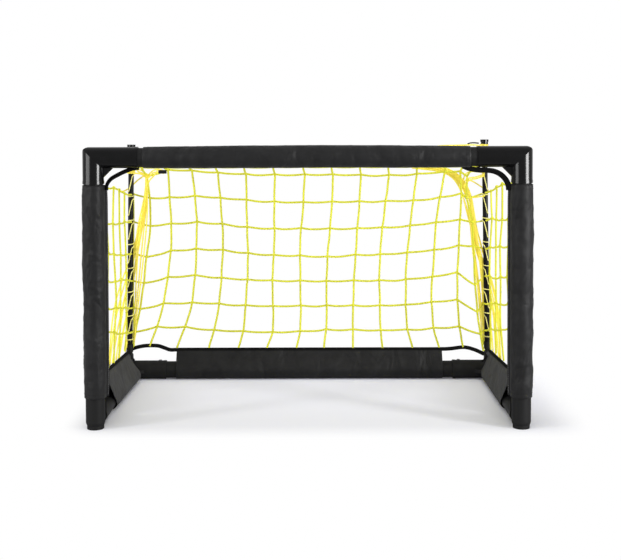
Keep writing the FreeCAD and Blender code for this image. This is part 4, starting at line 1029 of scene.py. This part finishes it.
def side_net(side_name, side):
    near = box_of(f"{side_name}_net")[0].y + CORD_R
    far = middle_of(f"{side_name}_upright_rod").y + BEYOND_ROD
    rows = []
    for r, seen_row in enumerate(SIDE_ROWS_SEEN_AT[side_name] + [None]):
        row = []
        for c in range(SIDE_COLUMNS + 1):
            if r == 0:
                back = c / SIDE_COLUMNS
                seen_row += (HEAD_END_SEEN_AT - seen_row) * max(0.0, 2 * back - 1) ** 0.7
            row.append(side_knot(side_name, r, c, seen_row, near, far))
        rows.append(row)
    strands = lattice(rows, rng, Vector((1, 0, 0)))
    # Each row goes on round the upright to the rear panel's edge.
    edge = 0 if side < 0 else -1
    for row, rear_row in zip(rows[:-1], knot_rows[1:]):
        strands.append(slack_cord(row[-1], rear_row[edge], rng, sag=0.03, wobble=0.01))
    return cord_piece(f"{side_name}_net_cords", strands, [k for row in rows[:-1] for k in row],
                      "base", 7 + side, f"{side_name}_net", radius=SIDE_CORD_R)


side_nets = [side_net(side_name, side) for side_name, side in SIDES.items()]

# %% [markdown]
# Where the panels meet at a corner, spare net is gathered. On the left its strands open like a fan
# from a knot at the corner. On the right it comes from under the crossbar as one hank, whose cords
# twist slowly round each other, and parts in two behind the rod. Short ties hold both to the rods.

# %% Gathered net
HANK_CORD_R, HANK_KNOT = 0.0016, 0.0026
BEHIND_ROD = {name: middle_of(f"{name}_upright_rod").y + 0.014 for name in SIDES}
OUTSIDE_X = NET_SIDE_X + 0.008
ROD_SEEN_AT = {"left": 131, "right": 486.5}
OVERLAP_PX, FAN_AHEAD = 4, 0.010
# How strands part: their shift in Y, their waves, and the shares of the width for place and wave.
STRAND_DEPTH, WAVES, PLACE_SHARE, WAVE_SHARE = 0.004, (0.8, 1.6), 0.8, 0.35


def gathered_at(side_name, px, py):
    """A place on a gathered cord: behind the net's edge, or round the upright's outer side."""
    side = SIDES[side_name]
    y = BEHIND_ROD[side_name]
    if (px - ROD_SEEN_AT[side_name]) * side < -OVERLAP_PX:
        return seen_at(px, py, y - FAN_AHEAD)
    beside = seen_at(px, py, side * OUTSIDE_X, axis=0)
    return beside if beside.y < y else seen_at(px, py, y)


def hank(side_name, strands, knots, seed):
    return cord_piece(f"{side_name}_hank", strands, knots, "base", seed,
                      f"{side_name}_net_bundle", HANK_CORD_R, HANK_KNOT, bundle_yellow)


def tied(places):
    """A cord through places in the picture, each with its depth in the goal."""
    return smooth_line([seen_at(px, py, y) for px, py, y in places])


def spread_strands(side_name, route, count, draw):
    """Cords that share a route of (px, py, half width in px), each on its own slow wave."""
    wide = smooth_line([(half, 0, 0) for _, _, half in route])
    line = smooth_line([(px, py, 0) for px, py, _ in route])
    strands = []
    for k in range(count):
        place = 2 * (k + 0.5) / count - 1
        phase = draw.uniform(0, FULL)
        waves = draw.uniform(*WAVES)
        depth = draw.uniform(-STRAND_DEPTH, STRAND_DEPTH)
        strand = []
        for n, (p, half) in enumerate(zip(line, wide)):
            t = n / (len(line) - 1)
            way = way_at(line, n)
            off = half.x * (PLACE_SHARE * place + WAVE_SHARE * sin(FULL * waves * t + phase))
            spot = gathered_at(side_name, p.x - way.y * off, p.y + way.x * off)
            strand.append(spot + Vector((0, depth, 0)))
        strands.append(strand)
    return strands


draw = random.Random(21)
# The left gather opens like a fan: each strand runs its own way down from the knot at the corner.
LEFT_FAN = [
    [(147, 173), (146.4, 188), (145, 203), (142, 216), (139.4, 232), (136.8, 250), (134.6, 272),
     (131.4, 297), (125, 325), (119.4, 357)],
    [(147.6, 174), (145.4, 188), (143.6, 204), (141.0, 222), (138.8, 240), (137.2, 262),
     (136.0, 285), (134.8, 305), (130, 328), (125, 352)],
    [(147, 174), (147.6, 190), (146.4, 206), (144.4, 222), (142.6, 240), (140.4, 262),
     (138.4, 285), (136.4, 305), (134.2, 325), (132.4, 347)],
    [(148, 174), (147.0, 190), (147.4, 206), (146.6, 224), (144.8, 245), (142.4, 268),
     (140.2, 288), (137.8, 308), (135.4, 328), (134, 348)],
    [(146, 174), (145.6, 190), (142.4, 207), (139.0, 222), (136.2, 240), (133.4, 257),
     (129.4, 278), (124.4, 302), (120.4, 328), (116.2, 360)],
    [(146, 174), (146.4, 192), (143.2, 210), (139.8, 226), (136.6, 243), (132.6, 264),
     (127.6, 284), (122.6, 306), (117.0, 332), (112, 363.5)],
    [(147.6, 175), (146.6, 194), (144.8, 212), (141.8, 230), (138.2, 250), (135.2, 270),
     (131.2, 292), (127.2, 312), (122.6, 332), (118, 358.5)],
    [(147, 175), (145.8, 196), (143.6, 214), (140.6, 230), (136.6, 246), (131.6, 262),
     (124.6, 284), (118.4, 307), (113.4, 332), (109.8, 365)],
    [(147, 175), (146.0, 194), (142.8, 212), (138.8, 228), (134.6, 244), (129.6, 260),
     (121.6, 282), (115.0, 305), (111.2, 332), (109.2, 365.5)],
]
# Ties from the rod and the hook to the corner: places in the picture, each with its Y.
LEFT_TIES = [
    [(130.5, 171.6, 0.163), (137, 169.4, 0.166), (142, 170.6, 0.170), (147, 174.5, 0.174)],
    [(130.5, 173.0, 0.163), (137.5, 173.4, 0.166), (142.5, 174.8, 0.170), (147, 178.5, 0.174)],
    [(136.5, 168.6, 0.166), (138.4, 171.6, 0.168), (142.4, 173.2, 0.171), (146.8, 176.5, 0.174)],
    [(165.5, 171.6, 0.150), (160, 169.6, 0.156), (154, 170.2, 0.164), (148.6, 174.6, 0.174)],
    [(164.0, 173.4, 0.150), (158, 172.4, 0.156), (153, 173.0, 0.164), (148.4, 178.0, 0.174)],
    [(157.5, 170.4, 0.156), (154.4, 175.2, 0.162), (150.4, 179.4, 0.168), (147.6, 184.0, 0.174)],
    [(119, 192.3, 0.120), (125, 190.6, 0.172), (131, 186.6, 0.186), (138, 180.0, 0.182),
     (146, 174.5, 0.174)],
]
# The right hank's routes, each place with half the hank's width there, in px.
RIGHT_UPPER = [(412, 166.0, 2.6), (424, 166.8, 3.8), (436, 168.4, 4.4), (448, 172.0, 4.4),
               (457, 177.6, 4.4), (463.8, 186.5, 4.6), (467.8, 198, 4.2), (470.6, 212, 3.4)]
RIGHT_INSIDE = RIGHT_UPPER + [(473.0, 230, 3.4), (475.4, 250, 4.4), (478.0, 275, 4.2),
                              (480.4, 300, 3.2), (482.6, 325, 2.0), (484.4, 345, 1.2)]
RIGHT_OUTSIDE = RIGHT_UPPER + [(474.4, 230, 2.8), (479.4, 250, 3.8), (485.0, 268, 5.0),
                               (490.4, 286, 7.0), (495.0, 306, 8.0), (497.6, 328, 8.0),
                               (499.5, 360, 6.4)]
RIGHT_TIES = [
    [(464, 182, 0.190), (469, 178.2, 0.188), (476, 177.0, 0.186), (484.6, 174.0, 0.185)],
    [(465, 184, 0.190), (470, 180.0, 0.188), (477, 178.4, 0.186), (484.6, 175.6, 0.185)],
    [(463, 181, 0.190), (465.5, 174, 0.188), (472, 171.6, 0.186), (484.6, 172.6, 0.185)],
    [(468, 197, 0.196), (474, 197.4, 0.192), (480, 196.6, 0.187), (485.0, 195.6, 0.184)],
    [(466, 179, 0.196), (473, 181.5, 0.204), (481, 186.5, 0.208), (489, 191.5, 0.190)],
]
# A knot at every so many points of a strand, between its first and its last few.
KNOT_EVERY, FAN_FIRST, FAN_LAST, HANK_FIRST, HANK_LAST = 13, 24, 8, 60, 4
WOUND_R, STEPS_PER_TURN, STEM_INSET = 0.0078, 24, 0.0055
# Where the picture shows the cord that is wound under the right cap, and then its way over the
# crossbar to the roof net's edge.
WIND_SEEN_AT, WIND_TURNS, WIND_DROP = (485, 144.0), 3, 0.0022
OVER_THE_BAR = [(477, 145.1, 0.184), (470, 144.9, 0.172), (455, 145.3, 0.150), (440, 145.9, 0.124),
                (424, 149.0, 0.092), (410, 155.5, 0.064)]
# The thin black loop of the net's binding that stands over the crossbar beside the right cap.
LOOP = [(467.6, 144.0, 0.180), (470.5, 143.0, 0.182), (474.5, 142.8, 0.184), (478.6, 143.2, 0.188)]
LOOP_R = 0.0015

fan_strands, fan_knots = [], []
for k, route in enumerate(LEFT_FAN):
    line = smooth_line([gathered_at("left", px, py) for px, py in route])
    shift = Vector((0, draw.uniform(-STRAND_DEPTH, STRAND_DEPTH), 0))
    fan_strands.append([p + shift for p in line])
    fan_knots += fan_strands[-1][FAN_FIRST + k:-FAN_LAST:KNOT_EVERY]
fan_strands += [tied(places) for places in LEFT_TIES]

right_strands = spread_strands("right", RIGHT_INSIDE, 5, random.Random(22))
right_strands += spread_strands("right", RIGHT_OUTSIDE, 8, random.Random(23))
right_knots = [p for strand in right_strands for p in strand[HANK_FIRST:-HANK_LAST:KNOT_EVERY]]
right_strands += [tied(places) for places in RIGHT_TIES]
stem = middle_of("right_upright_rod")
stem_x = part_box("right_upright_rod")[0][0] + STEM_INSET
wind_high = seen_at(*WIND_SEEN_AT, stem.y).z
wind = []
for n in range(WIND_TURNS * STEPS_PER_TURN + 1):
    angle = FULL * n / STEPS_PER_TURN
    wind.append(Vector((stem_x + WOUND_R * cos(angle), stem.y + WOUND_R * sin(angle),
                        wind_high - WIND_DROP * n / STEPS_PER_TURN)))
over_the_bar = smooth_line([wind[-1]] + [seen_at(px, py, y) for px, py, y in OVER_THE_BAR])
right_strands.append(wind + over_the_bar[1:])
bundles = [hank("left", fan_strands, fan_knots, 21), hank("right", right_strands, right_knots, 22)]
corner_loop = cord_piece("right_corner_loop", [tied(LOOP)], [], "base", 33, radius=LOOP_R,
                         material=hem_thread)

# %% [markdown]
# A lacing ties the net to each upright: it climbs steeply over the rod and takes one tight turn at
# every mesh. The cord under the cap closes it at the top with a few turns of its own.

# %% Lacing
LACING_TURNS, LACING_STEPS = 7, 560
LACING_R, LACING_CORD_R, RING_CORD_R = 0.0066, 0.0010, 0.0014
# The cord lies a little closer and further from the rod as it climbs.
UNEVEN, UNEVEN_RATE = 0.0002, 5.3
LEAN, FOOT_INSET, FOOT_Z = radians(0.9), 0.005, 0.052
# The tight turn takes this share of a mesh's cord and climbs this share of its height.
TIGHT_SHARE, WRAP_SHARE = 0.4, 0.10
# On the climb the cord passes behind the rod quickly and comes up its front steeply: shares of the
# climb's cord, and how far round the rod the cord is there.
CLIMB = ((0.0, 0.0), (0.22, 0.66), (0.90, 0.84), (1.0, 1.0))
RING_STEPS, RING_BELOW, RING_RISE = 60, 0.0035, 0.0030


def climb_turn(share):
    """How far round the rod the cord is, as a share of a turn, for a share of the climb."""
    for (from_share, from_turn), (to_share, to_turn) in zip(CLIMB, CLIMB[1:]):
        if share <= to_share:
            part = (share - from_share) / (to_share - from_share)
            return from_turn + (to_turn - from_turn) * part
    return 1.0


def mesh_turn(part):
    """Turns round the rod and the height climbed, for a share of one mesh's lacing."""
    if part < TIGHT_SHARE:
        return part / TIGHT_SHARE, WRAP_SHARE * part / TIGHT_SHARE
    slow = (part - TIGHT_SHARE) / (1 - TIGHT_SHARE)
    return 1 + climb_turn(slow), WRAP_SHARE + (1 - WRAP_SHARE) * slow


def lace(side_name, side):
    """The lacing and the cord under the cap, both wound round the leaning rod."""
    way = Vector((-side * sin(LEAN), 0, cos(LEAN)))
    east, north = Vector((way.z, 0, -way.x)), Y_WAY
    low, high = box_of(f"{side_name}_upright_rod")
    foot = Vector((side * (POST_X - FOOT_INSET), (low.y + high.y) / 2, FOOT_Z))
    start, end = (corner.z - foot.z for corner in box_of(f"{side_name}_lacing"))
    strand = []
    for n in range(LACING_STEPS + 1):
        turn = min(LACING_TURNS * (n / LACING_STEPS), LACING_TURNS - 1e-9)
        whole = floor(turn)
        round_rod, climbed = mesh_turn(turn - whole)
        up = start + (end - start) * (whole + climbed) / LACING_TURNS
        angle = FULL * round_rod
        radius = LACING_R + UNEVEN * sin(UNEVEN_RATE * turn)
        strand.append(foot + way * up + east * (-side * cos(angle) * radius)
                      + north * (sin(angle) * radius))
    cord_piece(f"{side_name}_lacing_cord", [strand], [], f"{side_name}_upright", 31,
               f"{side_name}_lacing", LACING_CORD_R, material=lacing_yellow)
    low, high = box_of(f"{side_name}_corner_cord")
    ring_up = ((low.z + high.z) / 2 - foot.z) / way.z
    ring = []
    for n in range(RING_STEPS + 1):
        angle = FULL * n / STEPS_PER_TURN
        ring.append(foot + way * (ring_up - RING_BELOW + RING_RISE * n / STEPS_PER_TURN)
                    + east * (cos(angle) * WOUND_R) + north * (sin(angle) * WOUND_R))
    cord_piece(f"{side_name}_ring_cord", [ring], [], f"{side_name}_upright", 32,
               f"{side_name}_corner_cord", RING_CORD_R, material=bundle_yellow)


for side_name, side in SIDES.items():
    lace(side_name, side)
print("lacing turns per upright:", 2 * LACING_TURNS)

# %% [markdown]
# Every seam of the sleeves and tapes is machine sewn. A row of stitches repeats one small thing at
# an even step along a line, so Geometry Nodes make it: the line is cut into equal lengths and a
# short rounded thread is laid on each, turned along the line. The frame's seams get a pale thread,
# whose paleness is a painted highlight along the flanges; the hems and base are sewn in near black.

# %% Stitches
STITCH = {"Step": 0.0042, "Stitch length": 0.0030, "Thread radius": 0.00045}


def stitch_tree():
    tree, given, result = start_group(
        "Geometry", "row of stitches",
        {"Lines": "Geometry", "Step": "Float", "Stitch length": "Float", "Thread radius": "Float",
         "Finish": "Material"}, {"Made": "Geometry"})
    curves = output(tree, "GeometryNodeMeshToCurve", {"Mesh": given["Lines"]})
    spaced = output(tree, "GeometryNodeResampleCurve", {"Curve": curves, "Length": given["Step"]},
                    mode="LENGTH")
    tangent = output(tree, "GeometryNodeInputTangent")
    turned = output(tree, "FunctionNodeAlignRotationToVector", {"Vector": tangent}, axis="X")
    half = times(given["Stitch length"], 0.5)
    size = output(tree, "ShaderNodeCombineXYZ", {0: half, 1: given["Thread radius"],
                                                 2: given["Thread radius"]})
    bead = output(tree, "GeometryNodeMeshIcoSphere", {"Radius": 1.0, "Subdivisions": 2})
    thread = output(tree, "GeometryNodeTransform", {"Geometry": bead, "Scale": size})
    laid = output(tree, "GeometryNodeInstanceOnPoints",
                  {"Points": spaced, "Instance": thread, "Rotation": turned})
    return finish_tree(tree, given, result, laid)


stitches_tree = stitch_tree()
stitch_pieces = {}
for where, lines in seam_lines.items():
    body = "front_frame" if where.startswith("frame") else "base"
    thread = seam_highlight_thread if where == "frame_seams" else hem_thread
    made = run_tree(stitches_tree, lines_mesh(lines), {**STITCH, "Finish": thread})
    piece = link_piece(f"{where}_stitches", made, thread, body)
    stitch_pieces[where] = piece
    print(piece.name, "triangles", sum(len(f.vertices) - 2 for f in made.polygons))

# %% [markdown]
# When the front frame folds down, the net, its ties and the flaps of cloth collapse onto the base.
# Each soft piece that belongs to the base gets a mesh of its own here. The small hook and the loop
# hang in the net, so they go down with it.

# %% Soft pieces that collapse
hook = link_piece("net_hook", bpy.data.objects["net_clip"].data.copy(), satin_black, "base")
hook.data.shade_flat()
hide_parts("net_clip")
for piece in (rear_net, roof_net, *side_nets, *bundles, hook, corner_loop):
    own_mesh(piece)
side_stitches = [stitch_pieces[f"{side_name}_seams"] for side_name in SIDES]
flaps = (*side_tapes, *side_cloths, *side_stitches)
for piece in flaps:
    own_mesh(piece)
print("flaps that flatten:", len(flaps))

# %% [markdown]
# The floor is pale and plain. Its colour holds a painted soft grey shadow from the rear bar to the
# feet, painted a little deeper towards the front, and it turns to clean white further out.

# %% Floor
FLOOR_HALF = 6
# The painted shadow's middle and half its size in X and Y, and the width of its soft edge.
PAINTED_SHADOW_MIDDLE, PAINTED_SHADOW_HALF, PAINTED_SHADOW_EDGE = (0.035, 0.0), (0.415, 0.165), 0.09
# Painted shadow: deeper in front, where lamps light more, and bluish against the net's yellow
# bounce.
REAR_PAINTED_SHADOW, FRONT_PAINTED_SHADOW = (0.85, 0.853, 0.965, 1), (0.72, 0.722, 0.765, 1)
REAR_PAINTED_SHADOW_Y, FRONT_PAINTED_SHADOW_Y = 0.16, -0.14
corners = [(x * FLOOR_HALF, y * FLOOR_HALF, 0) for x, y in ((-1, -1), (1, -1), (1, 1), (-1, 1))]
floor_mesh = bpy.data.meshes.new("floor")
floor_mesh.from_pydata(corners, [], [(0, 1, 2, 3)])
ground = new_object("floor", floor_mesh)
floor_finish, tree, surface = blank_finish("studio_floor", 0.0, Roughness=0.9)
floor_mesh.materials.append(floor_finish)
split = add_node(tree, "ShaderNodeSeparateXYZ", {0: object_place(tree)}).outputs
forward = output(tree, "ShaderNodeMapRange", {"Value": split["Y"], "From Min": REAR_PAINTED_SHADOW_Y,
                                              "From Max": FRONT_PAINTED_SHADOW_Y})
shade = add_node(tree, "ShaderNodeMix", {"Factor": forward, 6: REAR_PAINTED_SHADOW, 7: FRONT_PAINTED_SHADOW},
                 data_type="RGBA")
feed(surface, {"Base Color": shade.outputs[2]})
beyond = []
for axis, middle, half in zip(("X", "Y"), PAINTED_SHADOW_MIDDLE, PAINTED_SHADOW_HALF):
    away = maths("SUBTRACT", maths("ABSOLUTE", maths("SUBTRACT", split[axis], middle)), half)
    away = maths("MAXIMUM", away, 0.0)
    beyond.append(times(away, away))
far = maths("SQRT", plus(*beyond))
fade = output(tree, "ShaderNodeMapRange", {"Value": far, "From Min": 0.0, "From Max": PAINTED_SHADOW_EDGE},
              interpolation_type="SMOOTHSTEP")
white = output(tree, "ShaderNodeEmission", {"Strength": 1.0})
clean = times(fade, direct_rays(tree))
lit = tree.nodes["Principled BSDF"].outputs[0]
mix = output(tree, "ShaderNodeMixShader", {0: clean, 1: lit, 2: white})
feed(tree.nodes["Material Output"].inputs, {"Surface": mix})
print("floor:", 2 * FLOOR_HALF, "m square")
